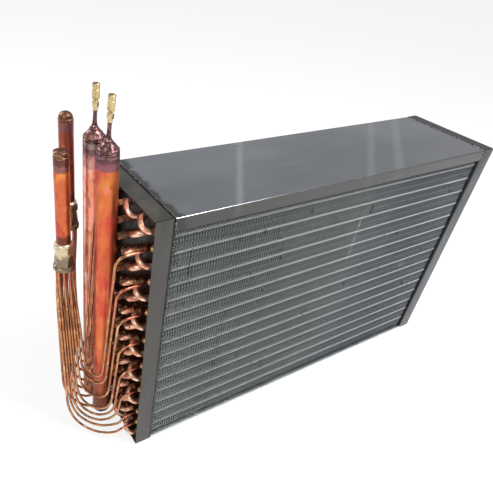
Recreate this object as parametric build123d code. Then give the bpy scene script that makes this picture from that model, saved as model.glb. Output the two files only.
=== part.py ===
from build123d import *
import os
from math import atan, ceil, cos, degrees, pi, radians, sin, sqrt, tan

# Direct-expansion evaporator coil: a slab of finned tubes in a folded sheet casing, with
# two sets of circuits, each with its distributor, feeder leads and suction header.
# Millimetres. +X runs along the tubes with the headers at -X, the air enters the
# face at -Y, +Z is up, and the origin is the middle of the casing's underside.

# Finned core
ROWS = 16                    # tubes in each column, top to bottom
COLUMNS = 8                  # tube columns, front to back
ROW_PITCH = 38.1             # tube spacing up a column
COLUMN_PITCH = 28.575        # spacing from column to column
FIN_COUNT = 144
FIN_PITCH = 6.35
FIN_THICK = 0.2
TUBE_DIA = 12.7

# Casing
SHEET = 2.0
FLANGE = 38.0                # tube sheet flanges, folded away from the fins
FOLD_RADIUS = 3.0            # outside of each fold
CORNER_SLIT = 1.0            # relief between two flanges at a corner
FIN_RECESS = 7.7             # fin edge behind the casing's face
FIN_HEADROOM = 2.2           # fin end to top or bottom plate
TOP_LIP = 27.0               # depth of the top plate's folded front and back
BOTTOM_LIP = 8.0

# Tube ends
TUBE_REACH = 27.0            # tube mouths beyond the left tube sheet
HAIRPIN_REACH = 4.0          # straight part beyond the right tube sheet
BEND_SHOULDER = 0.47         # mitred bends: ends of the legs, in half tube spacings
BEND_CROWN = 1.05            # and where the two slanting runs meet

# Headers
HEADER_DIA = 41.3
HEADER_OFFSET = 79.5         # axis beyond the left tube sheet
HEADER_BOTTOM = 31.0
HEADER_TOP = 726.0           # crown of the cap
CAP_DIA = 41.0               # the tubes' sleeves pass over their caps
CAP_SKIRT = 7.0              # upright part of a header cap
CAP_DOME = 15.0
CAP_CROWN_DIA = 15.0         # flat round the valve stem
CAP_SHOULDERS = ((0.93, 0.35), (0.74, 0.72))    # shares of the diameter and the dome
STUB_DEPTH = 1.5             # suction stub into the header wall

# Access valves
STEM_DIA = 6.35
STEM_LENGTH = 31.0
VALVE_HEX = 10.5             # across flats
VALVE_HEX_FOOT = 7.0         # lower end of the flats
VALVE_HEX_HEIGHT = 8.0
VALVE_BODY_DIA = 8.4
VALVE_BODY_LENGTH = 20.0
VALVE_CAP_DIA = 13.0
VALVE_CAP_LENGTH = 26.0
VALVE_CAP_SLOT = 4.0         # width and depth

# Distributors: axis beyond the left tube sheet, its depth in tube columns, rim height
DISTRIBUTORS = {"front": (142.5, 5.9, 444.0), "rear": (108.0, 8.21, 494.0)}
RIM_DIA = 44.4
RIM_HEIGHT = 8.0
FLARE_HEIGHT = 48.0          # rim's underside to the top of the cone
FLARE_TOP_DIA = 33.0
BODY_HEX = 35.0              # across flats
BODY_HEX_BASE = 34.0         # rim's underside to the lower end of the flats
BODY_HEIGHT = 54.0
COLLAR_DIA = 37.0
COLLAR_HEIGHT = 7.0
INLET_DIA = 28.6
INLET_LENGTH = {"front": 174.0, "rear": 164.0}
INLET_CAP_DIA = 28.4
INLET_CAP_HEIGHT = {"front": 15.0, "rear": 17.0}
INLET_CAP_SKIRT = 0.55       # shares of the height: top of the skirt, and of the shoulder
INLET_CAP_EDGE = 0.8
INLET_CAP_SHOULDER = {"front": 0.95, "rear": 0.8}     # share of the diameter; the rear is a dome
INLET_CAP_CROWN = 0.45       # flat top, share of the diameter

# Feeder leads
LEAD_DIA = 4.76
LEAD_CIRCLE = 30.0           # diameter on which they leave the distributor
LEAD_DROP = 24.0             # straight below the rim
LEAD_BEND = 22.0             # last bend, towards the tube mouth
LEAD_CHORD = 30.0            # degrees that one straight chord of a bend turns
STRAND_PITCH = 5.8           # spacing in the bundle below a distributor
STRAND_LAYER = 1.5           # every second strand lies this much further back
LOOP_RISE = 0.55             # ends of a loop above its lowest point, in half widths
LOOP_LIFT = 0.3              # at most this share of the way up to the lead's row
LOOP_SAG = 0.13              # the arc passes this many half widths above its lowest corner
BEND_SHARE = 0.45            # part of a run that the bend at one of its ends may use

# Front leads: distances beyond the left tube sheet, depths in tube columns, heights
FRONT_LOOPS = (188, 165, 120, 80, 60, 42, 28, 16)     # lowest point of each lead
FRONT_BUNDLE = (120.0, 5.41, 320.0)      # first strand where the bundle has gathered
FRONT_DESCENT = (120.0, 4.15)            # first strand where the loops begin
FRONT_RISER = 99.0                       # first lead's run up to its row
FRONT_RISER_PITCH = 5.5
FRONT_LOOP_END = 2.47                    # where the first loop turns up
FRONT_LOOP_PITCH = 4.5
LAST_FOOT = 20.0                         # the last lead's loop is this much wider

# Rear leads, which pass between the headers. The eighth has no loop.
REAR_LOOPS = (225, 196, 166, 136, 106, 78, 52)
REAR_BUNDLE = (106.0, 7.405, 380.0)
REAR_DESCENT = (109.0, 6.25)
SLOT_APPROACH = 6.85                     # corner beyond the headers' outer faces
SLOT_MOUTH = 1.12                        # first corner behind the slot's middle, in slot widths
SLOT_MOUTH_PITCH = 0.139
REAR_LOOP_END = 108.0
REAR_LOOP_PITCH = 6.5
REAR_RISER = 92.0
REAR_RISER_PITCH = 5.5
LAST_REAR_RISER = 78.0
LAST_DESCENT_RISE = 40.0                 # the eighth lead's corners above its row
LAST_SLOT_RISE = 3.0

# Circuits. A tube is (column, 0 for the upper row of its band or 1 for the lower).
LEAD_TUBE = {"front": (1, 1), "rear": (5, 1)}
STUB_TUBE = {"front": (4, 0), "rear": (6, 0)}
BENDS = {
    "front": [((1, 0), (2, 0)), ((2, 1), (3, 1)), ((3, 0), (4, 1))],
    "rear": [((5, 0), (6, 1)), ((7, 1), (8, 1)), ((7, 0), (8, 0))],
}
HAIRPINS = {
    "front": [((column, 0), (column, 1)) for column in (1, 2, 3, 4)],
    "rear": [((5, 0), (5, 1)), ((6, 0), (7, 0)), ((6, 1), (7, 1)), ((8, 0), (8, 1))],
}

# Worked out from the above
FIN_DEPTH = COLUMNS * COLUMN_PITCH
FIN_HEIGHT = ROWS * ROW_PITCH
CORE_LENGTH = (FIN_COUNT + 1) * FIN_PITCH + 2 * SHEET
CASE_DEPTH = FIN_DEPTH + 2 * FIN_RECESS
CASE_HEIGHT = FIN_HEIGHT + 2 * (FIN_HEADROOM + SHEET)
LEFT = -CORE_LENGTH / 2      # outer face of the left tube sheet
BANDS = range(1, ROWS, 2)    # upper row of each pair of rows
LEADS = len(BANDS)           # from each distributor
HEADER_COLUMNS = [tube[0] for tube in STUB_TUBE.values()]
SLOT_COLUMN = sum(HEADER_COLUMNS) / 2                  # middle of the slot between the headers
SLOT_WIDTH = abs(HEADER_COLUMNS[0] - HEADER_COLUMNS[1]) * COLUMN_PITCH - HEADER_DIA


def column_y(column):
    """Depth of a tube column, or of a place between two columns."""
    return (column - (COLUMNS + 1) / 2) * COLUMN_PITCH


def station(beyond, column, z=0, back=0):
    """A point beyond the left tube sheet, level with a column or a little further back."""
    return LEFT - beyond, column_y(column) + back, z


def row_z(column, row):
    """Height of a tube: odd columns hang half a pitch lower."""
    stagger = 0.75 if column % 2 else 0.25
    return CASE_HEIGHT - SHEET - FIN_HEADROOM - (row - 1 + stagger) * ROW_PITCH


def centre(tube, band):
    """(Y, Z) of a tube of a band."""
    column, lower = tube
    return column_y(column), row_z(column, band + lower)


def flipped(tube):
    """The other tube of the same column and band."""
    return tube[0], 1 - tube[1]


def front_bends(band):
    """The front circuit's bends: the top and bottom bands keep inside the core."""
    first, second, third = BENDS["front"]
    if band == BANDS[0]:
        return [first, second, (third[0], flipped(third[1]))]
    if band == BANDS[-1]:
        return [tuple(map(flipped, first)), tuple(map(flipped, second)),
                (flipped(third[0]), third[1])]
    return [first, second, third]


def bends(side, band):
    return front_bends(band) if side == "front" else BENDS[side]


def lead_tube(side, band):
    """The tube that a lead feeds."""
    tube = LEAD_TUBE[side]
    return flipped(tube) if side == "front" and band == BANDS[-1] else tube


def stub_tube(side, band):
    """The tube that a suction stub drains."""
    tube = STUB_TUBE[side]
    return flipped(tube) if side == "front" and band == BANDS[0] else tube


# Forms that several pieces share

def corner_radius(diameter, sides):
    """Radius to the corners of the regular polygon that has a round section's area."""
    turn = 2 * pi / sides
    return diameter / 2 * sqrt(turn / sin(turn))


def polygon(diameter, sides):
    """A regular polygon that stands for a round section."""
    return RegularPolygon(corner_radius(diameter, sides), sides)


def six_sided(path, diameter, corners=Transition.TRANSFORMED):
    """A rod of six-sided section along a path."""
    section = Plane(origin=path @ 0, z_dir=path % 0) * polygon(diameter, 6)
    return sweep(section, path=path, transition=corners)


def faceted(foot, rings, sides=24):
    """A small turned part with flat sides, from (diameter, height) rings."""
    def flat_radius(diameter):
        return corner_radius(diameter, sides) * cos(pi / sides)

    solid = Part()
    for (lower, z1), (upper, z2) in zip(rings, rings[1:]):
        taper = degrees(atan((flat_radius(lower) - flat_radius(upper)) / (z2 - z1)))
        solid += Pos(0, 0, z1) * extrude(polygon(lower, sides), z2 - z1, taper=taper)
    return Pos(*foot) * solid


def upright(foot, diameter, height):
    """A round bar standing on a point."""
    return Pos(*foot) * Cylinder(diameter / 2, height, align=(Align.CENTER, Align.CENTER, Align.MIN))


def mitred_u(x, first, second, leg):
    """A U between two tubes in three mitred turns, its legs starting from the plane x."""
    (y1, z1), (y2, z2) = first, second
    half = sqrt((y2 - y1) ** 2 + (z2 - z1) ** 2) / 2
    side = 1 if x > 0 else -1
    shoulder = x + side * (leg + BEND_SHOULDER * half)
    crown = x + side * (leg + BEND_CROWN * half)
    middle = (crown, (y1 + y2) / 2, (z1 + z2) / 2)
    return (shoulder, y1, z1), middle, (shoulder, y2, z2)


# Casing

def tray():
    """The right tube sheet: a web with four flanges folded outwards, away from the fins."""
    def block(thickness, radius):
        inset = 2 * thickness
        solid = Box(FLANGE + SHEET, CASE_DEPTH - inset, CASE_HEIGHT - inset,
                    align=(Align.MIN, Align.CENTER, Align.CENTER))
        web = solid.faces().sort_by(Axis.X)[0]
        return Pos(thickness, 0, 0) * fillet(web.edges(), radius)

    shell = block(0, FOLD_RADIUS) - block(SHEET, FOLD_RADIUS - SHEET)
    slit = Box(FLANGE, CORNER_SLIT, 4 * SHEET, align=(Align.MIN, Align.CENTER, Align.CENTER))
    y = CASE_DEPTH / 2 - SHEET - CORNER_SLIT / 2
    corners = [(FOLD_RADIUS, i * y, k * CASE_HEIGHT / 2) for i in (-1, 1) for k in (-1, 1)]
    shell -= [Pos(*corner) * slit for corner in corners]
    return Pos(CORE_LENGTH / 2 - SHEET, 0, CASE_HEIGHT / 2) * shell


def plate(lip):
    """A sheet between the tube sheets whose front and back edges are folded down as lips."""
    half = CASE_DEPTH / 2
    core = half - SHEET
    outside = FilletPolyline((-half, -lip), (-half, 0), (half, 0), (half, -lip), radius=FOLD_RADIUS)
    inside = FilletPolyline((-core, -lip), (-core, -SHEET), (core, -SHEET), (core, -lip),
                            radius=FOLD_RADIUS - SHEET)
    edges = [Line((-half, -lip), (-core, -lip)), Line((half, -lip), (core, -lip))]
    section = Plane.YZ * make_face([*outside.edges(), *inside.edges(), *edges])
    return extrude(section, CORE_LENGTH / 2 - SHEET, both=True)


def fins():
    """Thin flat fins; the tubes are expanded into them."""
    first = -(FIN_COUNT - 1) / 2 * FIN_PITCH
    fin = Box(FIN_THICK, FIN_DEPTH, FIN_HEIGHT)
    return [Pos(first + i * FIN_PITCH, 0, CASE_HEIGHT / 2) * fin for i in range(FIN_COUNT)]


# Tubing

def hairpin(first, second):
    """Two tubes of the core and the bend that joins them at the right end."""
    bend = mitred_u(-LEFT, first, second, HAIRPIN_REACH)
    mouths = [(LEFT - TUBE_REACH, *tube) for tube in (first, second)]
    path = Polyline(mouths[0], *bend, mouths[1])
    return six_sided(path, TUBE_DIA, Transition.RIGHT)


def return_bend(first, second):
    """The U that joins two tube mouths at the left end."""
    mouth_x = LEFT - TUBE_REACH
    path = Polyline((mouth_x, *first), *mitred_u(mouth_x, first, second, 0), (mouth_x, *second))
    return six_sided(path, TUBE_DIA, Transition.RIGHT)


def header_axis(side):
    """(X, Y) of a suction header, in line with the column that it drains."""
    return LEFT - HEADER_OFFSET, column_y(STUB_TUBE[side][0])


def suction_stub(side, band):
    """A straight tube from a tube mouth into the header's wall."""
    y, z = centre(stub_tube(side, band), band)
    wall_x = header_axis(side)[0] + HEADER_DIA / 2 - STUB_DEPTH
    return six_sided(Line((LEFT - TUBE_REACH, y, z), (wall_x, y, z)), TUBE_DIA)


def header_cap():
    """A spun cap on its open end: a short skirt, a shouldered dome and a flat crown."""
    shoulders = [(CAP_DIA * out, CAP_SKIRT + CAP_DOME * up) for out, up in CAP_SHOULDERS]
    return faceted((0, 0, 0), [
        (CAP_DIA, 0),
        (CAP_DIA, CAP_SKIRT),
        *shoulders,
        (CAP_CROWN_DIA, CAP_SKIRT + CAP_DOME),
    ])


def header_pieces(side):
    """A header's tube, and the caps that close its top and its bottom."""
    x, y = header_axis(side)
    tube_bottom = HEADER_BOTTOM + CAP_SKIRT + CAP_DOME
    tube_top = HEADER_TOP - CAP_SKIRT - CAP_DOME
    return {
        f"header_{side}": upright((x, y, tube_bottom), HEADER_DIA, tube_top - tube_bottom),
        f"header_caps_{side}": [
            Pos(x, y, tube_top) * header_cap(),
            Pos(x, y, tube_bottom) * Rot(180, 0, 0) * header_cap(),
        ],
    }


# Access valves

def valve_body():
    """A turned brass body with a hexagon at mid height."""
    hexagon = extrude(RegularPolygon(VALVE_HEX / 2, 6, major_radius=False), VALVE_HEX_HEIGHT)
    body = faceted((0, 0, 0), [(VALVE_BODY_DIA, 0), (VALVE_BODY_DIA, VALVE_BODY_LENGTH)], 12)
    return body + Pos(0, 0, VALVE_HEX_FOOT) * hexagon


def valve_cap():
    """A knurled cap, slotted across its top to serve as a core key."""
    top = VALVE_CAP_LENGTH
    cap = faceted((0, 0, 0), [(VALVE_CAP_DIA, 0), (VALVE_CAP_DIA, top)], 16)
    slot = Box(2 * VALVE_CAP_DIA, VALVE_CAP_SLOT, VALVE_CAP_SLOT)
    return cap - Pos(0, 0, top - VALVE_CAP_SLOT / 2) * slot


def valve_pieces(side):
    """A charging valve on a header's crown: brazed stem, brass body and screwed cap."""
    x, y = header_axis(side)
    body_z = HEADER_TOP + STEM_LENGTH
    stem = faceted((x, y, HEADER_TOP), [(STEM_DIA, 0), (STEM_DIA, STEM_LENGTH)], 12)
    return {
        f"valve_stem_{side}": stem,
        f"valve_body_{side}": Pos(x, y, body_z) * valve_body(),
        f"valve_cap_{side}": Pos(x, y, body_z + VALVE_BODY_LENGTH) * valve_cap(),
    }


# Distributors

def distributor_body():
    """A turned brass cone with a rim, run into a hexagon whose flats scallop the cone."""
    cone = faceted((0, 0, 0), [
        (RIM_DIA, 0),
        (RIM_DIA, RIM_HEIGHT),
        (FLARE_TOP_DIA, FLARE_HEIGHT),
    ])
    flats = RegularPolygon(BODY_HEX / 2, 6, major_radius=False)
    return cone + Pos(0, 0, BODY_HEX_BASE) * extrude(flats, BODY_HEIGHT - BODY_HEX_BASE)


def inlet_cap(side):
    """The cap of an inlet tube: flat with a chamfered edge, or domed."""
    height = INLET_CAP_HEIGHT[side]
    return faceted((0, 0, 0), [
        (INLET_CAP_DIA, 0),
        (INLET_CAP_DIA, height * INLET_CAP_SKIRT),
        (INLET_CAP_DIA * INLET_CAP_SHOULDER[side], height * INLET_CAP_EDGE),
        (INLET_CAP_DIA * INLET_CAP_CROWN, height),
    ])


def distributor_pieces(side):
    """Body, collar, inlet tube and its cap, from the rim up."""
    x, y, rim = station(*DISTRIBUTORS[side])
    collar_z = rim + BODY_HEIGHT
    inlet_z = collar_z + COLLAR_HEIGHT
    length = INLET_LENGTH[side]
    collar = [(COLLAR_DIA, 0), (COLLAR_DIA, COLLAR_HEIGHT)]
    return {
        f"distributor_{side}": Pos(x, y, rim) * distributor_body(),
        f"distributor_collar_{side}": faceted((x, y, collar_z), collar),
        f"inlet_tube_{side}": upright((x, y, inlet_z), INLET_DIA, length),
        f"inlet_cap_{side}": Pos(x, y, inlet_z + length) * inlet_cap(side),
    }


# Feeder leads, numbered from the top row down

def strand(side, number):
    """(X, Y) where a lead leaves its distributor: the innermost pair is nearest the core."""
    x, y, _ = station(*DISTRIBUTORS[side])
    turn = radians(180 / LEADS * (1 + 2 * (number // 2)))
    depth = -1 if number % 2 == 0 else 1
    return x + LEAD_CIRCLE / 2 * cos(turn), y + depth * LEAD_CIRCLE / 2 * sin(turn)


def bundle(number, beyond, column, z=0):
    """A lead's place in the bundle, which nests outwards from the core."""
    return station(beyond + number * STRAND_PITCH, column, z, number % 2 * STRAND_LAYER)


def loop(left, middle, right, lowest, row):
    """Three corners of a loop that hangs between two upright runs, below the lead's row."""
    across = sqrt((right[0] - left[0]) ** 2 + (right[1] - left[1]) ** 2) / 2
    rise = LOOP_RISE * across
    lift = min(rise, LOOP_LIFT * (row - lowest))
    corner = lowest - LOOP_SAG * across
    return (*left, lowest + rise), (*middle, corner), (*right, lowest + lift)


def front_route(number):
    """Corners of a front lead: down in the bundle, round its loop and up to its row."""
    band = BANDS[number]
    y, z = centre(lead_tube("front", band), band)
    exit_x, exit_y = strand("front", number)
    rim = DISTRIBUTORS["front"][2]
    riser = FRONT_RISER - number * FRONT_RISER_PITCH
    foot = riser + (LAST_FOOT if number == LEADS - 1 else 0)
    left = bundle(number, *FRONT_DESCENT)[:2]
    right = station(foot, FRONT_LOOP_END, back=-number * FRONT_LOOP_PITCH)[:2]
    middle = ((left[0] + right[0]) / 2, (left[1] + right[1]) / 2)
    return [
        (exit_x, exit_y, rim),
        (exit_x, exit_y, rim - LEAD_DROP),
        bundle(number, *FRONT_BUNDLE),
        *loop(left, middle, right, FRONT_LOOPS[number], z),
        (LEFT - riser, y, z),
        (LEFT - TUBE_REACH, y, z),
    ]


def rear_route(number):
    """Corners of a rear lead: round its loop into the slot between the headers, and up."""
    band = BANDS[number]
    y, z = centre(lead_tube("rear", band), band)
    exit_x, exit_y = strand("rear", number)
    rim = DISTRIBUTORS["rear"][2]
    start = [
        (exit_x, exit_y, rim),
        (exit_x, exit_y, rim - LEAD_DROP),
        bundle(number, *REAR_BUNDLE),
    ]
    left = bundle(number, *REAR_DESCENT)[:2]
    beyond = HEADER_OFFSET + HEADER_DIA / 2 + SLOT_APPROACH
    back = SLOT_WIDTH * (SLOT_MOUTH - number * SLOT_MOUTH_PITCH)
    slot_mouth = station(beyond, SLOT_COLUMN, back=back)[:2]
    if number == LEADS - 1:
        return [
            *start,
            (*left, z + LAST_DESCENT_RISE),
            (*slot_mouth, z + LAST_SLOT_RISE),
            (LEFT - LAST_REAR_RISER, y, z),
            (LEFT - TUBE_REACH, y, z),
        ]
    right = (LEFT - REAR_LOOP_END + number * REAR_LOOP_PITCH, y)
    return [
        *start,
        *loop(left, slot_mouth, right, REAR_LOOPS[number], z),
        (LEFT - REAR_RISER + number * REAR_RISER_PITCH, y, z),
        (LEFT - TUBE_REACH, y, z),
    ]


def bend_radii(points):
    """A radius for each corner of a route, as large as its two runs leave room for."""
    runs = [Vector(end) - Vector(start) for start, end in zip(points, points[1:])]
    radii = []
    for before, after in zip(runs, runs[1:]):
        half_turn = radians(before.get_angle(after) / 2)
        radii.append(BEND_SHARE * min(before.length, after.length) / tan(half_turn))
    return radii[:-1] + [min(radii[-1], LEAD_BEND)]


def chorded(path):
    """The path with each of its arcs laid in straight chords."""
    points = [path @ 0]
    for edge in path.edges():
        turn = (edge % 0).get_angle(edge % 1)
        chords = max(1, ceil(turn / LEAD_CHORD))
        points += [edge @ (i / chords) for i in range(1, chords + 1)]
    return Polyline(*points)


def lead(points):
    """A feeder lead along a route of straight runs and tangent arcs."""
    path = FilletPolyline(*points, radius=bend_radii(points))
    return six_sided(chorded(path), LEAD_DIA, Transition.RIGHT)


# The whole coil, node by node

def casing_pieces():
    right = tray()
    top = Pos(0, 0, CASE_HEIGHT) * plate(TOP_LIP)
    return {
        "tube_sheet_left": mirror(right, Plane.YZ),
        "tube_sheet_right": right,
        "top_plate": top,
        "bottom_plate": mirror(plate(BOTTOM_LIP), Plane.XY),
        "fin_pack": fins(),
    }


def circuit_pieces(side, route):
    """Everything that one set of circuits is made of."""
    pieces = {
        f"hairpins_{side}": [
            hairpin(centre(first, band), centre(second, band))
            for band in BANDS for first, second in HAIRPINS[side]
        ],
        f"return_bends_{side}": [
            return_bend(centre(first, band), centre(second, band))
            for band in BANDS for first, second in bends(side, band)
        ],
        f"suction_stubs_{side}": [suction_stub(side, band) for band in BANDS],
        **header_pieces(side),
        **valve_pieces(side),
        **distributor_pieces(side),
    }
    for number in range(LEADS):
        pieces[f"lead_{side}_{number + 1}"] = lead(route(number))
    return pieces


def build():
    """All nodes by name."""
    return {
        **casing_pieces(),
        **circuit_pieces("front", front_route),
        **circuit_pieces("rear", rear_route),
    }


def main():
    os.makedirs("parts", exist_ok=True)
    for name, piece in build().items():
        solids = piece if isinstance(piece, list) else [piece]
        shape = Compound(children=solids) if len(solids) > 1 else solids[0]
        export_step(shape, f"parts/{name}.step")
        print(f"{name}: {len(solids)} solid(s), {sum(solid.volume for solid in solids):.0f} mm3")


if __name__ == "__main__":
    main()
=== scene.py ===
import logging
import random
from dataclasses import dataclass, field, replace
from enum import Enum
from math import atan2, ceil, cos, exp, pi, radians, sin
from typing import Any, Callable, Iterable, Sequence

import bpy
from mathutils import Matrix, Vector, noise


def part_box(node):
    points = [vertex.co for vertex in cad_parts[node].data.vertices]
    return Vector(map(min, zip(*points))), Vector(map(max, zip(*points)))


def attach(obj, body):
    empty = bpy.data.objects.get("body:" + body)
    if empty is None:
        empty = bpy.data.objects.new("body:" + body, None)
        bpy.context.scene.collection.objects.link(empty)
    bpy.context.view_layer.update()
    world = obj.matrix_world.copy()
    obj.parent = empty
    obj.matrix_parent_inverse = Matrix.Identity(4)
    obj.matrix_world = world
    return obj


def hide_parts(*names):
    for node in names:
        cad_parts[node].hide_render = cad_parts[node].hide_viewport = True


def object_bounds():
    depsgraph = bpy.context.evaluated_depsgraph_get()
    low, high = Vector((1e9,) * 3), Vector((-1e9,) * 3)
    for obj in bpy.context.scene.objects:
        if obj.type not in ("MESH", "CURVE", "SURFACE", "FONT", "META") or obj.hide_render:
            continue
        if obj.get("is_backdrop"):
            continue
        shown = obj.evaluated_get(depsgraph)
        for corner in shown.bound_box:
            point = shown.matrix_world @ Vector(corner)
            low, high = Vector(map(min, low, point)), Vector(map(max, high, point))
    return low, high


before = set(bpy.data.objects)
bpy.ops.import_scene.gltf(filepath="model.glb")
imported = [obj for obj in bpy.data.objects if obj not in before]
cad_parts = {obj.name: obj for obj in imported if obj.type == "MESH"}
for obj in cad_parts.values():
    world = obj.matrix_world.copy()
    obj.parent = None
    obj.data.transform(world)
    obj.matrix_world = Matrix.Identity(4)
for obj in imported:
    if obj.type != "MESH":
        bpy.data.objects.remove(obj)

# Direct-expansion evaporator coil. Sizes are in millimetres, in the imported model's frame, and
# Form.piece turns them to metres. +X runs along the tubes with the headers at -X, the air
# enters the face at -Y and +Z is up.

LOG = logging.getLogger("coil")
MM = 0.001
ROW_PITCH = 38.1
BODY = "root"
WHITE = "#ffffff"

Point = tuple[float, float, float]
ALONG: Point = (1, 0, 0)
THROUGH: Point = (0, 1, 0)
Tube = tuple[int, int]


class Side(Enum):
    """The two sets of circuits."""

    FRONT = "front"
    REAR = "rear"


def cad_box(node: str) -> tuple[Vector, Vector]:
    """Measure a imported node.

    Args:
        node: the node's name.

    Returns:
        Its lowest and highest corner, in millimetres.
    """
    low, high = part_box(node)
    return low / MM, high / MM


def smooth(value: float) -> float:
    """Ease a value between 0 and 1, held at both ends.

    Args:
        value: any number.

    Returns:
        A number from 0 to 1.
    """
    value = min(1.0, max(0.0, value))
    return value * value * (3 - 2 * value)


def uneven(turn: float, height: float, round_it: float, up_it: float, seed: float = 0.0) -> float:
    """How far hand work leaves a turned part's true shape at one place.

    Args:
        turn: the place's bearing about the axis, in radians.
        height: its height, in mm.
        round_it: how finely the unevenness varies round the part.
        up_it: and up the part, per mm.
        seed: picks the pattern.

    Returns:
        A share from 0 to 1, mostly below a half.
    """
    place = Vector((cos(turn) * round_it + seed, sin(turn) * round_it, height * up_it))
    return abs(noise.noise(place))


def hexagon(turn: float, half: float) -> float:
    """The radius of a hexagon at a bearing.

    Args:
        turn: the bearing, in radians.
        half: half the width across the flats.

    Returns:
        The distance from the middle to the flat.
    """
    return half / cos((turn + pi / 6) % (pi / 3) - pi / 6)


# ---------------------------------------------------------------- meshes


class Form:
    """A mesh in the making: closed tubes, turned parts and beads, added one by one."""

    def __init__(self) -> None:
        """Start empty."""
        self.points: list[Vector] = []
        self.faces: list[tuple[int, ...]] = []

    def rings(self, rings: Sequence[Sequence[Vector]]) -> None:
        """Skin a row of equal rings and close both ends.

        Args:
            rings: loops of points, all the same way round.
        """
        start, sides = len(self.points), len(rings[0])
        for ring in rings:
            self.points.extend(ring)
        for row in range(len(rings) - 1):
            low = start + row * sides
            for i in range(sides):
                j = (i + 1) % sides
                self.faces.append((low + i, low + j, low + sides + j, low + sides + i))
        last = start + (len(rings) - 1) * sides
        self.faces.append(tuple(start + i for i in reversed(range(sides))))
        self.faces.append(tuple(last + i for i in range(sides)))

    def tube(self, path: Sequence[Vector], radii: Sequence[float], sides: int = 16) -> None:
        """A round section carried along a path without twist.

        Args:
            path: points along the middle.
            radii: the section's radius at each of them.
            sides: points round the section.
        """
        tangents = [
            (path[min(i + 1, len(path) - 1)] - path[max(i - 1, 0)]).normalized()
            for i in range(len(path))
        ]
        across = tangents[0].orthogonal().normalized()
        rings = []
        for point, tangent, radius in zip(path, tangents, radii):
            across = (across - across.dot(tangent) * tangent).normalized()
            other = tangent.cross(across)
            rings.append([
                point + radius * (cos(turn) * across + sin(turn) * other)
                for turn in (2 * pi * i / sides for i in range(sides))
            ])
        self.rings(rings)

    def turned(
        self,
        foot: Vector,
        profile: Sequence[tuple[float, float]],
        sides: int = 48,
        shape: Callable[[float, float, float], float] | None = None,
        lean: Matrix | None = None,
    ) -> None:
        """A part turned about an upright axis.

        Args:
            foot: where the axis starts.
            profile: (radius, height) from the bottom to the top.
            sides: points round each ring.
            shape: gives a radius from (radius, turn, height), for what isn't round.
            lean: tips the part about its foot.
        """
        rings = []
        for radius, height in profile:
            ring = []
            for i in range(sides):
                turn = 2 * pi * i / sides
                r = shape(radius, turn, height) if shape else radius
                offset = Vector((r * cos(turn), r * sin(turn), height))
                ring.append(foot + (lean @ offset if lean else offset))
            rings.append(ring)
        self.rings(rings)

    def bead(self, path: Sequence[Vector], radius: float, seed: int, uneven: float = 0.35) -> None:
        """A run of weld or solder with lumps along it.

        Args:
            path: the seam that it follows.
            radius: its mean half width.
            seed: picks the lumps.
            uneven: how far the half width varies, as a share.
        """
        draw = random.Random(seed)
        steps = []
        for start, end in zip(path, path[1:]):
            count = max(1, ceil((end - start).length / (radius * 0.8)))
            steps += [start.lerp(end, i / count) for i in range(count)]
        steps.append(path[-1])
        radii = [radius * (1 + uneven * draw.uniform(-1, 1)) for _ in steps]
        radii[0] = radii[-1] = radius * 0.3
        self.tube(steps, radii, 8)

    def blob(self, centre: Vector, size: Vector, seed: int, lumps: float = 0.12) -> None:
        """A lump of solder: a ball pulled out of true.

        Args:
            centre: its middle.
            size: half sizes along the three axes.
            seed: picks the shape.
            lumps: how far it leaves the ball, as a share.
        """
        sides, rows = 14, 9
        rings = []
        for row in range(rows):
            tilt = pi * (row + 0.15) / (rows - 0.7)
            ring = []
            for i in range(sides):
                turn = 2 * pi * i / sides
                unit = Vector((sin(tilt) * cos(turn), sin(tilt) * sin(turn), -cos(tilt)))
                swell = 1 + lumps * noise.noise(unit * 1.6 + Vector((seed * 3.7, seed, 0)))
                ring.append(centre + Vector(a * b for a, b in zip(unit, size)) * swell)
            rings.append(ring)
        self.rings(rings)

    def piece(
        self,
        name: str,
        finish: "Finish",
        slot: str,
        stands_for: Iterable[str] = (),
        sharp: float = 40.0,
    ) -> bpy.types.Object:
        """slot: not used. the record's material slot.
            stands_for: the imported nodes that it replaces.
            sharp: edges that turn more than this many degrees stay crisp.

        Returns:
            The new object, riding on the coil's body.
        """
        mesh = bpy.data.meshes.new(name)
        mesh.from_pydata([point * MM for point in self.points], [], self.faces)
        mesh.validate()
        mesh.shade_smooth()
        mesh.set_sharp_from_angle(angle=radians(sharp))
        mesh.materials.append(finish.material())
        piece = bpy.data.objects.new(name, mesh)
        bpy.context.scene.collection.objects.link(piece)
        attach(piece, BODY)
        if stands_for:
            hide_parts(*stands_for)
        return piece


def swept(corners: Sequence[Vector], reaches: Sequence[tuple[float, float]],
          steps: int = 14) -> list[Vector]:
    """Round a route's corners with bends that may start sooner than they end.

    Args:
        corners: the route's points.
        reaches: how far before and after each inner corner its bend runs.
        steps: chords of each bend.

    Returns:
        Points along the runs and bends.
    """
    points = [corners[0]]
    for before, corner, after, (back, on) in zip(corners, corners[1:], corners[2:], reaches):
        start = corner + (before - corner).normalized() * back
        end = corner + (after - corner).normalized() * on
        pull_in, pull_out = start.lerp(corner, 0.6), end.lerp(corner, 0.6)
        for i in range(steps + 1):
            t = i / steps
            points.append((1 - t) ** 3 * start + 3 * t * (1 - t) ** 2 * pull_in
                          + 3 * t * t * (1 - t) * pull_out + t ** 3 * end)
    points.append(corners[-1])
    return points


# -------------------------------------------------------------- finishes


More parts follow.
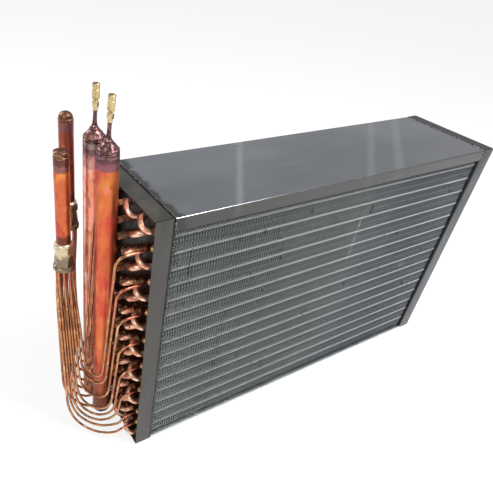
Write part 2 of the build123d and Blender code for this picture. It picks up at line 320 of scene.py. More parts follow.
def linear(colour: str, alpha: float = 1.0) -> tuple[float, float, float, float]:
    """Turn an sRGB hex colour to linear light.

    Args:
        colour: such as "#b87333".
        alpha: passed through.

    Returns:
        Red, green, blue and alpha.
    """
    parts = [int(colour[i:i + 2], 16) / 255 for i in (1, 3, 5)]
    red, green, blue = (c / 12.92 if c <= 0.04045 else ((c + 0.055) / 1.055) ** 2.4 for c in parts)
    return red, green, blue, alpha


def per_mm(size: float) -> float:
    """The scale of a texture whose features are this many millimetres across."""
    return 1 / (size * MM)


class Recipe:
    """The node tree of a material or of the world."""

    def __init__(self, owner: bpy.types.Material | bpy.types.World) -> None:
        """Start with an empty tree.

        Args:
            owner: what the tree belongs to.
        """
        owner.use_nodes = True
        self.tree = owner.node_tree
        self.tree.nodes.clear()

    def add(
        self,
        kind: str,
        inputs: dict[str | int, Any] | None = None,
        **settings: Any,
    ) -> bpy.types.Node:
        """Add a node with its settings and links.

        Args:
            kind: the node's type without its prefix.
            inputs: values or output sockets by input name or number.
            settings: the node's own properties.

        Returns:
            The node.
        """
        node = self.tree.nodes.new("ShaderNode" + kind)
        for key, value in settings.items():
            setattr(node, key, value)
        for key, value in (inputs or {}).items():
            if isinstance(value, bpy.types.NodeSocket):
                self.tree.links.new(value, node.inputs[key])
            else:
                node.inputs[key].default_value = value
        return node


@dataclass(frozen=True)
class Patch:
    """A colour that lies over another in patches."""

    colour: str
    size: float                  # of the patches, in mm
    cover: float = 0.5           # share of the surface
    soft: float = 0.12           # width of their edges, in noise
    strength: float = 1.0
    stretch: Point = (1, 1, 1)   # larger is finer along that axis
    detail: float = 4.0
    shift: float = 0.0           # moves the pattern, so that no two agree


@dataclass(frozen=True)
class Band:
    """A colour between two heights, such as a heat mark round a tube."""

    colour: str
    low: float
    high: float
    fade: float = 4.0            # mm over which it starts and ends
    ragged: float = 6.0          # mm that its edges wander
    strength: float = 1.0
    axis: Point = (0, 0, 1)      # the direction in which low and high are measured
    repeat: float = 0.0          # mm from one band to the next, or 0 for a single one


@dataclass(frozen=True)
class Grain:
    """Unevenness of the surface itself."""

    size: float                  # mm from lump to lump
    depth: float                 # mm
    stretch: Point = (1, 1, 1)
    detail: float = 3.0


class Finish:
    """What a piece is made of. The material is made when a piece first asks for it."""

    name: str
    made: dict[str, bpy.types.Material] = {}

    def material(self) -> bpy.types.Material:
        """Make the finish's material once, and hand out that one from then on.

        Returns:
            The material.
        """
        if self.name not in Finish.made:
            Finish.made[self.name] = self.make()
        return Finish.made[self.name]

    def make(self) -> bpy.types.Material:
        """Write the material's nodes. Each kind of finish has its own way."""
        raise NotImplementedError


@dataclass(frozen=True)
class Metal(Finish):
    """A metal surface: one base colour under patches, bands and grain."""

    name: str
    base: str
    roughness: float
    metallic: float = 1.0
    layers: tuple[Patch | Band, ...] = ()
    grains: tuple[Grain, ...] = ()
    worn: float = 0.08           # roughness varies this much either way
    worn_size: float = 12.0      # over this many mm
    worn_stretch: Point = (1, 1, 1)

    def make(self) -> bpy.types.Material:
        """Lay the patches and bands over the base, then the grain over the lot.

        Returns:
            The finished material.
        """
        material = bpy.data.materials.new(self.name)
        recipe = Recipe(material)
        place = recipe.add("TexCoord").outputs["Object"]
        colour: Any = linear(self.base)
        for layer in self.layers:
            mask = self.patch(recipe, place, layer) if isinstance(layer, Patch) else (
                self.band(recipe, place, layer))
            colour = recipe.add(
                "MixRGB", {"Fac": mask, "Color1": colour, "Color2": linear(layer.colour)}
            ).outputs["Color"]
        wear = self.clouds(recipe, place, self.worn_size, self.worn_stretch, 3.0, 7.0)
        rough = recipe.add(
            "MapRange",
            {"Value": wear, "From Min": 0.3, "From Max": 0.7,
             "To Min": max(0.04, self.roughness - self.worn), "To Max": self.roughness + self.worn},
        ).outputs["Result"]
        normal = None
        for grain in self.grains:
            height = self.clouds(recipe, place, grain.size, grain.stretch, grain.detail, 3.0)
            inputs = {"Height": height, "Distance": grain.depth * MM, "Strength": 1.0}
            if normal is not None:
                inputs["Normal"] = normal
            normal = recipe.add("Bump", inputs).outputs["Normal"]
        inputs = {"Base Color": colour, "Metallic": self.metallic, "Roughness": rough}
        if normal is not None:
            inputs["Normal"] = normal
        shader = recipe.add("BsdfPrincipled", inputs)
        recipe.add("OutputMaterial", {"Surface": shader.outputs["BSDF"]})
        return material

    @staticmethod
    def clouds(
        recipe: Recipe, place: Any, size: float, stretch: Point, detail: float, shift: float
    ) -> Any:
        """A cloudy pattern between 0 and 1.

        Args:
            recipe: the tree to add to.
            place: coordinates in metres.
            size: of its clouds, in mm.
            stretch: larger is finer along that axis.
            detail: octaves.
            shift: moves the pattern.

        Returns:
            The pattern's output socket.
        """
        mapped = recipe.add("Mapping", {"Vector": place, "Location": (shift, -shift, shift / 2),
                                        "Scale": stretch})
        return recipe.add(
            "TexNoise",
            {"Vector": mapped.outputs["Vector"], "Scale": per_mm(size), "Detail": detail,
             "Roughness": 0.6},
        ).outputs["Fac"]

    def patch(self, recipe: Recipe, place: Any, layer: Patch) -> Any:
        """Where a patch lies, from 0 to its strength.

        Args:
            recipe: the tree to add to.
            place: coordinates in metres.
            layer: the patch.

        Returns:
            The mask's output socket.
        """
        cloud = self.clouds(recipe, place, layer.size, layer.stretch, layer.detail, layer.shift)
        edge = 0.5 + (0.5 - layer.cover) * 0.5
        return recipe.add(
            "MapRange",
            {"Value": cloud, "From Min": edge - layer.soft / 2, "From Max": edge + layer.soft / 2,
             "To Min": 0.0, "To Max": layer.strength},
            interpolation_type="SMOOTHSTEP",
        ).outputs["Result"]

    def band(self, recipe: Recipe, place: Any, layer: Band) -> Any:
        """Where a band lies, from 0 to its strength.

        Args:
            recipe: the tree to add to.
            place: coordinates in metres.
            layer: the band.

        Returns:
            The mask's output socket.
        """
        along = recipe.add("VectorMath", {0: place, 1: layer.axis},
                           operation="DOT_PRODUCT").outputs["Value"]
        cloud = self.clouds(recipe, place, max(6.0, layer.ragged * 1.5), (1, 1, 1), 3.0, 11.0)
        wander = recipe.add("MapRange", {
            "Value": cloud, "From Min": 0.3, "From Max": 0.7,
            "To Min": -layer.ragged / 2 * MM, "To Max": layer.ragged / 2 * MM}).outputs["Result"]
        height = recipe.add("Math", {0: along, 1: wander}, operation="ADD").outputs["Value"]
        if layer.repeat:
            least = (layer.low - layer.fade) * MM
            height = recipe.add("Math", {0: height, 1: least + layer.repeat * MM, 2: least},
                                operation="WRAP").outputs["Value"]
        sides = []
        for edge, sign in ((layer.low, 1), (layer.high, -1)):
            fade = layer.fade / 2 * sign
            sides.append(recipe.add(
                "MapRange",
                {"Value": height, "From Min": (edge - fade) * MM, "From Max": (edge + fade) * MM},
                interpolation_type="SMOOTHSTEP",
            ).outputs["Result"])
        both = recipe.add("Math", {0: sides[0], 1: sides[1]}, operation="MULTIPLY")
        return recipe.add(
            "Math", {0: both.outputs["Value"], 1: layer.strength}, operation="MULTIPLY"
        ).outputs["Value"]


@dataclass(frozen=True)
class StudioFloor(Finish):
    """Matt paper: near white to the eye, and it keeps the coil's shadow."""

    name: str = "studio_paper"
    paper: str = "#f2f2f2"
    lift: float = 0.82           # share of plain white that the camera sees

    def make(self) -> bpy.types.Material:
        """Mix plain white into the paper, for the rays that the camera itself sends.

        Returns:
            The floor's material.
        """
        material = bpy.data.materials.new(self.name)
        recipe = Recipe(material)
        paper = recipe.add("BsdfDiffuse", {"Color": linear(self.paper)}).outputs["BSDF"]
        white = recipe.add("Emission", {"Color": linear(WHITE)}).outputs["Emission"]
        rays = recipe.add("LightPath").outputs["Is Camera Ray"]
        share = recipe.add("Math", {0: rays, 1: self.lift}, operation="MULTIPLY").outputs["Value"]
        mixed = recipe.add("MixShader", {0: share, 1: paper, 2: white}).outputs["Shader"]
        recipe.add("OutputMaterial", {"Surface": mixed})
        return material


RIDGE_TOP = cad_box("fin_pack")[1].z  # height of the uppermost pressed ridge of the fins

# Galvanised steel sheet, rolled and left bare: a soft gray shine with broad lighter and darker
# patches. Pale painted reflection streaks run across the top, the front lip is painted darker as
# shade and its fold carries a painted highlight.
TOP_SHEET = Metal(
    "galvanised_steel_rolled", "#93979a", 0.22, metallic=0.9,
    layers=(
        Patch("#a5a8ae", 260, 0.45, 0.4, 0.7, (0.5, 1, 1), 2.0, 1.3),
        Patch("#808388", 240, 0.4, 0.4, 0.6, (0.6, 1, 1), 2.0, 5.1),
        Patch("#aeb0b4", 40, 0.2, 0.2, 0.3, (0.25, 1, 1), 4.0, 2.2),
        Band("#888b8e", -160, -10, 60, 40, 0.4, THROUGH),
        # three pale streaks drawn diagonally across the top: painted reflections
        Band("#d4d6da", -194, -182, 11, 4, 0.4, (0.803, -0.596, 0)),
        Band("#c2c4ca", 104, 120, 9, 6, 0.28, (0.662, -0.749, 0)),
        Band("#c2c4ca", 166, 186, 12, 6, 0.3, (0.662, -0.749, 0)),
        Patch("#55555a", 26, 0.07, 0.08, 0.5, (0.5, 1.6, 1), 4.0, 3.4),
        Band("#413e3b", -470, -446, 16, 30, 0.75, ALONG),
        # the front lip painted darker than the top: painted shade
        Band("#3b3936", -130, -119.7, 0.6, 0, 0.9, THROUGH),
        # a pale line along the front fold: painted highlight
        Band("#c9cccf", 521.6, 526, 0.8, 0, 0.3, (0, -0.7071, 0.7071)),
    ),
    grains=(Grain(90, 0.25, (0.6, 1, 1), 2.0), Grain(1.6, 0.006)),
    worn=0.07, worn_size=70, worn_stretch=(0.3, 1, 1),
)

# The sheet under the fins, seen only at its edge: painted paler than the top sheet, painted light
# that makes the edge read as a lit line.
BOTTOM_SHEET = Metal(
    # the pale base is painted light on the bottom edge
    "galvanised_steel_plain", "#b4b8ba", 0.32, metallic=0.8,
    layers=(Patch("#8b8f92", 60, 0.45, 0.3, 0.6, (0.4, 1, 1), 3.0, 4.4),
            Patch("#4c4b4a", 14, 0.1, 0.1, 0.6, (0.5, 1, 1), 3.0, 1.9)),
    worn=0.08, worn_size=40,
)

# The same sheet handled and sheared for the tube sheets: duller, with scratches and oil. The front
# flanges are painted darker as shade, and the left web and the rear flanges near black, painted shade
# behind the return bends.
TUBE_SHEET = Metal(
    "galvanised_steel_folded", "#625f5a", 0.34, metallic=0.85,
    layers=(
        Patch("#78736a", 70, 0.4, 0.3, 0.6, (1, 1, 0.35), 3.0, 0.4),
        Patch("#4b4a48", 50, 0.4, 0.25, 0.6, (1, 1, 0.4), 3.0, 3.6),
        Patch("#83868a", 5, 0.06, 0.06, 0.5, (1, 1, 0.12), 4.0, 8.2),
        Patch("#2b2826", 9, 0.05, 0.08, 0.5, (1, 1, 1), 3.0, 6.1),
        # the front flanges painted darker: painted shade
        Band("#3f3e3c", -130, -119.7, 0.6, 0, 0.75, THROUGH),
        # the left web and the rear flanges' inner faces near black: painted shade behind the return
        # bends
        Band("#141211", -465, -458, 1, 0.5, 0.95, ALONG),
        Band("#1b1918", 118, 121.2, 0.6, 0, 0.85, THROUGH),
        Band("#3f4147", 455, 510, 6, 1, 0.8, ALONG),
    ),
    grains=(Grain(40, 0.15, (1, 1, 0.5), 2.0), Grain(1.6, 0.008)),
    worn=0.1, worn_size=30, worn_stretch=(1, 1, 0.3),
)

# Aluminium foil, pressed into ripples: oily gray between the fins and pale along the cut edges, with
# a near-white painted highlight on the ridge of every row and a fainter one on the lesser ridge
# midway.
FIN_FOIL = Metal(
    "aluminium_foil_pressed", "#777d7e", 0.36, metallic=0.7,
    layers=(
        Patch("#62686a", 90, 0.45, 0.4, 0.6, (1, 1, 0.6), 2.0, 2.0),
        Patch("#6e6b5c", 90, 0.2, 0.3, 0.4, (1, 1, 0.7), 2.0, 9.0),
        Band("#c6cccb", -120, -112.9, 0.6, 0, 0.8, THROUGH),
        Band("#c6cccb", 112.9, 120, 0.6, 0, 0.8, THROUGH),
        Patch("#dfe3e2", 7, 0.16, 0.1, 0.5, (1, 1, 0.5), 3.0, 4.0),
        Band("#5d6078", 150, 470, 300, 40, 0.35, ALONG),
        # near-white bands on each row's ridge and fainter ones on the lesser ridge: painted
        # highlights
        Band("#ffffff", RIDGE_TOP - 2.7, RIDGE_TOP + 0.3, 0.8, 0, 0.95, repeat=ROW_PITCH),
        Band("#c8cecd", RIDGE_TOP - 21.4, RIDGE_TOP - 19.4, 0.8, 0, 0.5, repeat=ROW_PITCH),
    ),
    worn=0.1, worn_size=30,
)

# Copper tube, drawn and handled: brown-red, glossy where the light lies along it. Between
# the tube sheets the fins' collars cover it, so it shows the gray of the foil there.
CORE_COPPER = Metal(
    "copper_tube_drawn", "#b06a4c", 0.34,
    layers=(
        Patch("#74402c", 14, 0.42, 0.2, 0.8, (1, 1, 1), 4.0, 1.1),
        Patch("#dba888", 9, 0.3, 0.12, 0.8, (1, 1, 1), 4.0, 3.1),
        Band("#8e9492", -459, 459, 1, 0.5, 1.0, ALONG),
    ),
    grains=(Grain(3.0, 0.03),), worn=0.1, worn_size=9,
)

# Copper bends, brazed in: salmon, cream and orange where the torch cleaned and tinted them.
BEND_COPPER = Metal(
    "copper_bend_brazed", "#d29478", 0.34, metallic=0.9,
    layers=(
        Patch("#ecc8ae", 15, 0.52, 0.16, 0.9, (1, 1, 1), 3.0, 0.7),
        Patch("#9a5238", 13, 0.3, 0.14, 0.75, (1, 1, 1), 4.0, 2.9),
        Patch("#dc7a4a", 22, 0.32, 0.12, 0.75, (1, 1, 1), 3.0, 4.8),
        Patch("#5a3026", 7, 0.14, 0.1, 0.65, (1, 1, 1), 4.0, 7.7),
        Patch("#eedcc0", 8, 0.2, 0.08, 0.8, (1, 1, 1), 4.0, 9.3),
    ),
    grains=(Grain(4.0, 0.05),), worn=0.1, worn_size=8,
)

# Copper header, heated along its branches: orange with red and yellow flames of oxide, and
# a mauve band under the dark, scaled end where the cap was brazed on.
FRONT_HEADER = Metal(
    "copper_header_heat_tinted", "#c26439", 0.38, metallic=0.85,
    layers=(
        Patch("#d18646", 44, 0.4, 0.2, 0.8, (1, 1, 0.5), 3.0, 3.3),
        Patch("#bd4038", 52, 0.44, 0.14, 0.8, (1, 1, 0.55), 3.0, 0.9),
        Patch("#d97472", 20, 0.16, 0.1, 0.6, (1, 1, 0.6), 3.0, 5.7),
        Patch("#8f3f28", 12, 0.24, 0.14, 0.55, (1, 1, 0.5), 5.0, 7.1),
        Patch("#5c3626", 4, 0.12, 0.08, 0.6, (1, 1, 1), 3.0, 8.8),
        Band("#6a4438", 0, 150, 130, 40, 0.75),
        Band("#83525a", 677, 760, 3, 4, 1.0),
        Band("#4c3136", 690, 760, 9, 10, 0.8),
        Band("#a8888a", 699, 760, 3, 12, 0.35),
    ),
    grains=(Grain(5.0, 0.04), Grain(1.2, 0.012)), worn=0.1, worn_size=16,
)

# The rear header is paler: salmon pink where it stayed clean.
REAR_HEADER = Metal(
    "copper_header_salmon", "#d98a72", 0.34, metallic=0.85,
    layers=(
        Patch("#e8b4a4", 34, 0.42, 0.16, 0.85, (1, 1, 0.4), 3.0, 1.9),
        Patch("#c8744a", 28, 0.34, 0.14, 0.75, (1, 1, 0.45), 3.0, 4.3),
        Patch("#8c4636", 14, 0.28, 0.12, 0.6, (1, 1, 0.5), 5.0, 6.7),
        Patch("#5c3a32", 4, 0.14, 0.08, 0.6, (1, 1, 1), 3.0, 3.8),
        Band("#7a4c38", 0, 200, 140, 40, 0.6),
        Band("#a87474", 655, 760, 5, 8, 0.8),
        Band("#51393c", 680, 760, 12, 12, 0.8),
        Band("#b0a09e", 697, 760, 4, 14, 0.4),
    ),
    grains=(Grain(5.0, 0.04), Grain(1.2, 0.012)), worn=0.1, worn_size=16,
)

# Spun copper cap, scaled by the torch: brown, with pinkish-white patches painted in as highlights.
CAP_COPPER = Metal(
    "copper_cap_scaled", "#6d4b4a", 0.36, metallic=0.9,
    layers=(
        Patch("#432c2e", 9, 0.46, 0.14, 0.85, (1, 1, 1), 4.0, 0.2),
        # pinkish-white patches: painted highlights
        Patch("#d4b4ae", 7, 0.26, 0.08, 0.85, (1, 1, 2.2), 4.0, 2.7),
        Patch("#9a6a4a", 12, 0.24, 0.12, 0.6, (1, 1, 1), 3.0, 5.2),
    ),
    grains=(Grain(4.0, 0.35), Grain(1.4, 0.06)), worn=0.14, worn_size=6,
)

# Copper inlet tubes: orange-red, with a mauve band under the cap and a dark ring lower down.
FRONT_INLET = Metal(
    "copper_inlet_heat_tinted", "#bd6240", 0.4, metallic=0.9,
    layers=(
        Patch("#d68446", 34, 0.4, 0.14, 0.8, (1, 1, 0.6), 3.0, 2.1),
        Patch("#a83c34", 34, 0.36, 0.14, 0.8, (1, 1, 0.6), 3.0, 5.5),
        Patch("#7c4030", 8, 0.24, 0.12, 0.6, (1, 1, 0.7), 5.0, 8.5),
        Band("#4c2d24", 505, 524, 10, 6, 0.8),
        Band("#805352", 656, 720, 3, 4, 0.95),
        Band("#54352f", 668, 720, 6, 6, 0.7),
    ),
    grains=(Grain(5.0, 0.04), Grain(1.2, 0.01)), worn=0.1, worn_size=12,
)
REAR_INLET = Metal(
    "copper_inlet_brown", "#b05a44", 0.4, metallic=0.9,
    layers=(
        Patch("#c9745a", 24, 0.32, 0.14, 0.75, (1, 1, 0.5), 3.0, 4.1),
        Patch("#7e3c30", 26, 0.44, 0.14, 0.8, (1, 1, 0.5), 3.0, 8.5),
        Patch("#4c2a24", 6, 0.2, 0.1, 0.6, (1, 1, 0.7), 4.0, 1.5),
        Band("#4c2d24", 555, 572, 10, 6, 0.7),
        Band("#7a5050", 700, 760, 4, 5, 0.9),
    ),
    grains=(Grain(5.0, 0.04), Grain(1.2, 0.01)), worn=0.1, worn_size=12,
)
INLET_CAP = Metal(
    "copper_cap_tarnished", "#82583f", 0.42, metallic=0.9,
    layers=(
        Patch("#4c342c", 8, 0.46, 0.16, 0.8, (1, 1, 1), 4.0, 1.2),
        Patch("#c79a8c", 7, 0.26, 0.1, 0.7, (1, 1, 2), 4.0, 3.9),
    ),
    grains=(Grain(4.0, 0.1), Grain(1.2, 0.03)), worn=0.12, worn_size=6,
)

# Brass, turned and knurled: clean yellow with fine tool marks.
VALVE_BRASS = Metal(
    "brass_turned_bright", "#c8b184", 0.3,
    layers=(Patch("#a08649", 6, 0.3, 0.16, 0.6, (1, 1, 1), 3.0, 2.4),
            Patch("#e6dab8", 5, 0.24, 0.1, 0.5, (1, 1, 1), 3.0, 6.4)),
    grains=(Grain(0.9, 0.02, (0.4, 0.4, 4)),), worn=0.06, worn_size=4,
)

# Brass, forged and turned, dulled by flux: tan gray with turning lines round it.
DISTRIBUTOR_BRASS = Metal(
    "brass_turned_dulled", "#a08a6c", 0.4, metallic=0.9,
    layers=(
        Patch("#7c7460", 14, 0.45, 0.16, 0.8, (1, 1, 1), 3.0, 1.7),
        Patch("#c2a988", 9, 0.3, 0.12, 0.7, (1, 1, 0.6), 4.0, 3.7),
        Patch("#5a4434", 8, 0.2, 0.1, 0.7, (1, 1, 1), 4.0, 8.3),
    ),
    grains=(Grain(2.2, 0.03, (0.2, 0.2, 3)),), worn=0.08, worn_size=8,
)

# The front one took more heat: cream flux from the braze above ends in a ragged edge on it.
FLUXED_BRASS = replace(
    DISTRIBUTOR_BRASS, name="brass_turned_fluxed",
    layers=(
        *DISTRIBUTOR_BRASS.layers,
        Band("#6f6252", 440, 474, 3, 12, 0.75),
        Band("#cdbb9a", 477, 520, 5, 18, 0.75),
    ),
)

# Silver brazing alloy, run round the joint: pale cream, soft and slumped.
BRAZE_COLLAR = Metal(
    "brazing_alloy_flowed", "#d9c8a6", 0.36, metallic=0.85,
    layers=(
        Patch("#b9ad97", 8, 0.4, 0.14, 0.7, (1, 1, 1), 3.0, 0.6),
        Patch("#8c6c50", 6, 0.18, 0.08, 0.6, (1, 1, 1), 4.0, 5.6),
    ),
    grains=(Grain(3.0, 0.08),), worn=0.1, worn_size=5,
)

# Braze fillets at the branches: dull gold to brown.
BRAZE_FILLET = Metal(
    "brazing_alloy_fillet", "#b08a5c", 0.4, metallic=0.9,
    layers=(
        Patch("#6d4630", 5, 0.4, 0.14, 0.8, (1, 1, 1), 3.0, 1.6),
        Patch("#e0cba0", 4, 0.2, 0.1, 0.8, (1, 1, 1), 3.0, 4.6),
    ),
    grains=(Grain(2.0, 0.08),), worn=0.1, worn_size=4,
)

# Small-bore copper, annealed and bent by hand: bronze, redder where the torch reached it.
LEAD_COPPER = Metal(
    "copper_capillary_bent", "#ab7650", 0.3,
    layers=(
        Patch("#7a5038", 36, 0.42, 0.2, 0.75, (1, 1, 1), 3.0, 0.3),
        Patch("#cfa078", 22, 0.32, 0.14, 0.75, (1, 1, 1), 3.0, 2.6),
        Patch("#c0624a", 30, 0.2, 0.12, 0.75, (1, 1, 1), 3.0, 5.9),
        Band("#c46a5c", -530, -480, 26, 14, 0.7, ALONG),
        Band("#a85a4a", 400, 500, 24, 14, 0.6),
    ),
    worn=0.06, worn_size=40,
)

# Steel weld, run by hand along the seams: gray with a dark heat mark, and near-white flecks painted
# in as glints.
WELD_STEEL = Metal(
    "steel_weld_run", "#7a7672", 0.4, metallic=0.9,
    layers=(
        Patch("#2c2724", 8, 0.46, 0.12, 0.9, (1, 1, 1), 3.0, 2.3),
        # near-white flecks: painted glints
        Patch("#d8d8d6", 5, 0.22, 0.06, 0.9, (1, 1, 1), 4.0, 5.3),
        Patch("#7a4a2c", 9, 0.16, 0.08, 0.7, (1, 1, 1), 3.0, 7.9),
    ),
    grains=(Grain(3.0, 0.2),), worn=0.1, worn_size=5,
)


# ---------------------------------------------------------------- the core


@dataclass(frozen=True)
class Layout:
    """Where the tubes run. Every part of the coil takes its places from here."""

    rows: int = 16
    columns: int = 8             # front to back, staggered
    row_pitch: float = ROW_PITCH
    column_pitch: float = 28.575
    tube_dia: float = 12.7
    flange: float = 38.0         # width of the tube sheets' folded edges
    sheet: float = 2.0
    left: float = 0.0            # outer face of the left tube sheet
    right: float = 0.0           # and of the right one
    face: float = 0.0            # plane of the casing's front
    height: float = 0.0          # of the casing
    mouth: float = 0.0           # where the tubes end at the left

    lead_tube: dict[Side, Tube] = field(   # where the refrigerant enters a band
        default_factory=lambda: {Side.FRONT: (1, 1), Side.REAR: (5, 1)})
    stub_tube: dict[Side, Tube] = field(   # and where it leaves
        default_factory=lambda: {Side.FRONT: (4, 0), Side.REAR: (6, 0)})

    @classmethod
    def packed(cls) -> "Layout":
        """Read the casing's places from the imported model.

        Returns:
            The layout.
        """
        low, high = cad_box("tube_sheet_left")
        other = cad_box("tube_sheet_right")[1]
        mouth = cad_box("hairpins_front")[0].x
        return cls(left=low.x + cls.flange, right=other.x - cls.flange,
                   face=low.y, height=high.z, mouth=mouth)

    @property
    def bands(self) -> range:
        """The upper row of each pair of rows."""
        return range(1, self.rows, 2)

    def column_y(self, column: float) -> float:
        """Depth of a tube column, or of a place between two columns."""
        return (column - (self.columns + 1) / 2) * self.column_pitch

    def station(self, beyond: float, column: float, z: float = 0.0, back: float = 0.0) -> Vector:
        """A point beyond the left tube sheet, level with a column or a little further back."""
        return Vector((self.left - beyond, self.column_y(column) + back, z))

    def centre(self, tube: Tube, band: int) -> tuple[float, float]:
        """Where a tube runs: odd columns hang half a pitch lower.

        Args:
            tube: its column, and 0 or 1 for the upper or lower row of the band.
            band: the band's upper row.

        Returns:
            Its Y and Z.
        """
        column, lower = tube
        stagger = 0.75 if column % 2 else 0.25
        top = (self.height + self.rows * self.row_pitch) / 2
        return self.column_y(column), top - (band + lower - 1 + stagger) * self.row_pitch

    def bends(self, side: Side, band: int) -> list[tuple[Tube, Tube]]:
        """The bends that join a band's tubes at the left end.

        Args:
            side: which set of circuits.
            band: the band's upper row.

        Returns:
            Pairs of tubes. The front's top and bottom bands keep inside the core.
        """
        if side is Side.REAR:
            return [((5, 0), (6, 1)), ((7, 1), (8, 1)), ((7, 0), (8, 0))]
        if band == self.bands[0]:
            return [((1, 0), (2, 0)), ((2, 1), (3, 1)), ((3, 0), (4, 0))]
        if band == self.bands[-1]:
            return [((1, 1), (2, 1)), ((2, 0), (3, 0)), ((3, 1), (4, 1))]
        return [((1, 0), (2, 0)), ((2, 1), (3, 1)), ((3, 0), (4, 1))]

    def hairpins(self, side: Side) -> list[tuple[Tube, Tube]]:
        """The tubes that one hairpin makes, turning at the right end.

        Args:
            side: which set of circuits.

        Returns:
            Pairs of tubes, the same in every band.
        """
        if side is Side.FRONT:
            return [((column, 0), (column, 1)) for column in (1, 2, 3, 4)]
        return [((5, 0), (5, 1)), ((6, 0), (7, 0)), ((6, 1), (7, 1)), ((8, 0), (8, 1))]

    def lead_end(self, side: Side, band: int) -> tuple[float, float]:
        """Where a lead feeds a band. The front's bottom band takes it in the other row.

        Args:
            side: which set of circuits.
            band: the band's upper row.

        Returns:
            Y and Z of the tube.
        """
        column, lower = self.lead_tube[side]
        if side is Side.FRONT and band == self.bands[-1]:
            lower = 1 - lower
        return self.centre((column, lower), band)

    def stub_end(self, side: Side, band: int) -> tuple[float, float]:
        """Where a suction stub drains a band. The front's top band gives it from the other row.

        Args:
            side: which set of circuits.
            band: the band's upper row.

        Returns:
            Y and Z of the tube.
        """
        column, lower = self.stub_tube[side]
        if side is Side.FRONT and band == self.bands[0]:
            lower = 1 - lower
        return self.centre((column, lower), band)


def u_path(x: float, first: tuple[float, float], second: tuple[float, float],
           leg: float, way: int, steps: int = 14) -> list[Vector]:
    """The middle of a U that leaves the plane x and comes back to it.

    Args:
        x: the plane.
        first: (Y, Z) of one leg.
        second: (Y, Z) of the other.
        leg: straight part before the turn.
        way: 1 towards +X, or -1.
        steps: chords of the turn.

    Returns:
        Points from one leg to the other.
    """
    a, b = Vector((x, *first)), Vector((x, *second))
    middle, arm, out = (a + b) / 2, (a - b) / 2, Vector((way, 0, 0))
    turn = [
        middle + out * (leg + arm.length * sin(pi * i / steps)) + arm * cos(pi * i / steps)
        for i in range(steps + 1)
    ]
    return [a, *turn, b]


@dataclass
class Casing:
    """The folded sheets round the core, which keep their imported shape, and their welds."""

    layout: Layout
    bead: float = 1.3            # half width of the seam runs
    seam_runs: tuple[tuple[float, float], ...] = ((6, 44), (70, 96), (132, 186), (204, 238))
    seam_end: float = 4.0        # the last run stops this far before the back
    tacks: tuple[float, ...] = (8, 17)     # below the top, on the front
    tack_length: float = 7.0
    proud: float = 0.1           # the welds' middle stands this far out of the sheet

    def dress(self) -> None:
        """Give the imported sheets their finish."""
        finishes = {"tube_sheet_left": TUBE_SHEET, "tube_sheet_right": TUBE_SHEET,
                    "top_plate": TOP_SHEET, "bottom_plate": BOTTOM_SHEET}
        for name, finish in finishes.items():
            paint(name, finish)

    def build(self) -> list[bpy.types.Object]:
        """Weld runs where the plates meet the tube sheets.

        Returns:
            The welds' piece.
        """
        form, at = Form(), self.layout
        depth, top, front = -2 * at.face, at.height + self.proud, at.face - self.proud
        runs = []
        for x in (at.left + at.sheet, at.right - at.sheet):
            for start, end in self.seam_runs:
                runs.append([Vector((x, at.face + start, top)),
                             Vector((x, at.face + min(end, depth - self.seam_end), top))])
            for below in self.tacks:
                z = at.height - below
                runs.append([Vector((x, front, z)), Vector((x, front, z - self.tack_length))])
        for number, run in enumerate(runs, 1):
            form.bead(run, self.bead, number)
        return [form.piece("seam_welds", WELD_STEEL, "casing_sheet")]


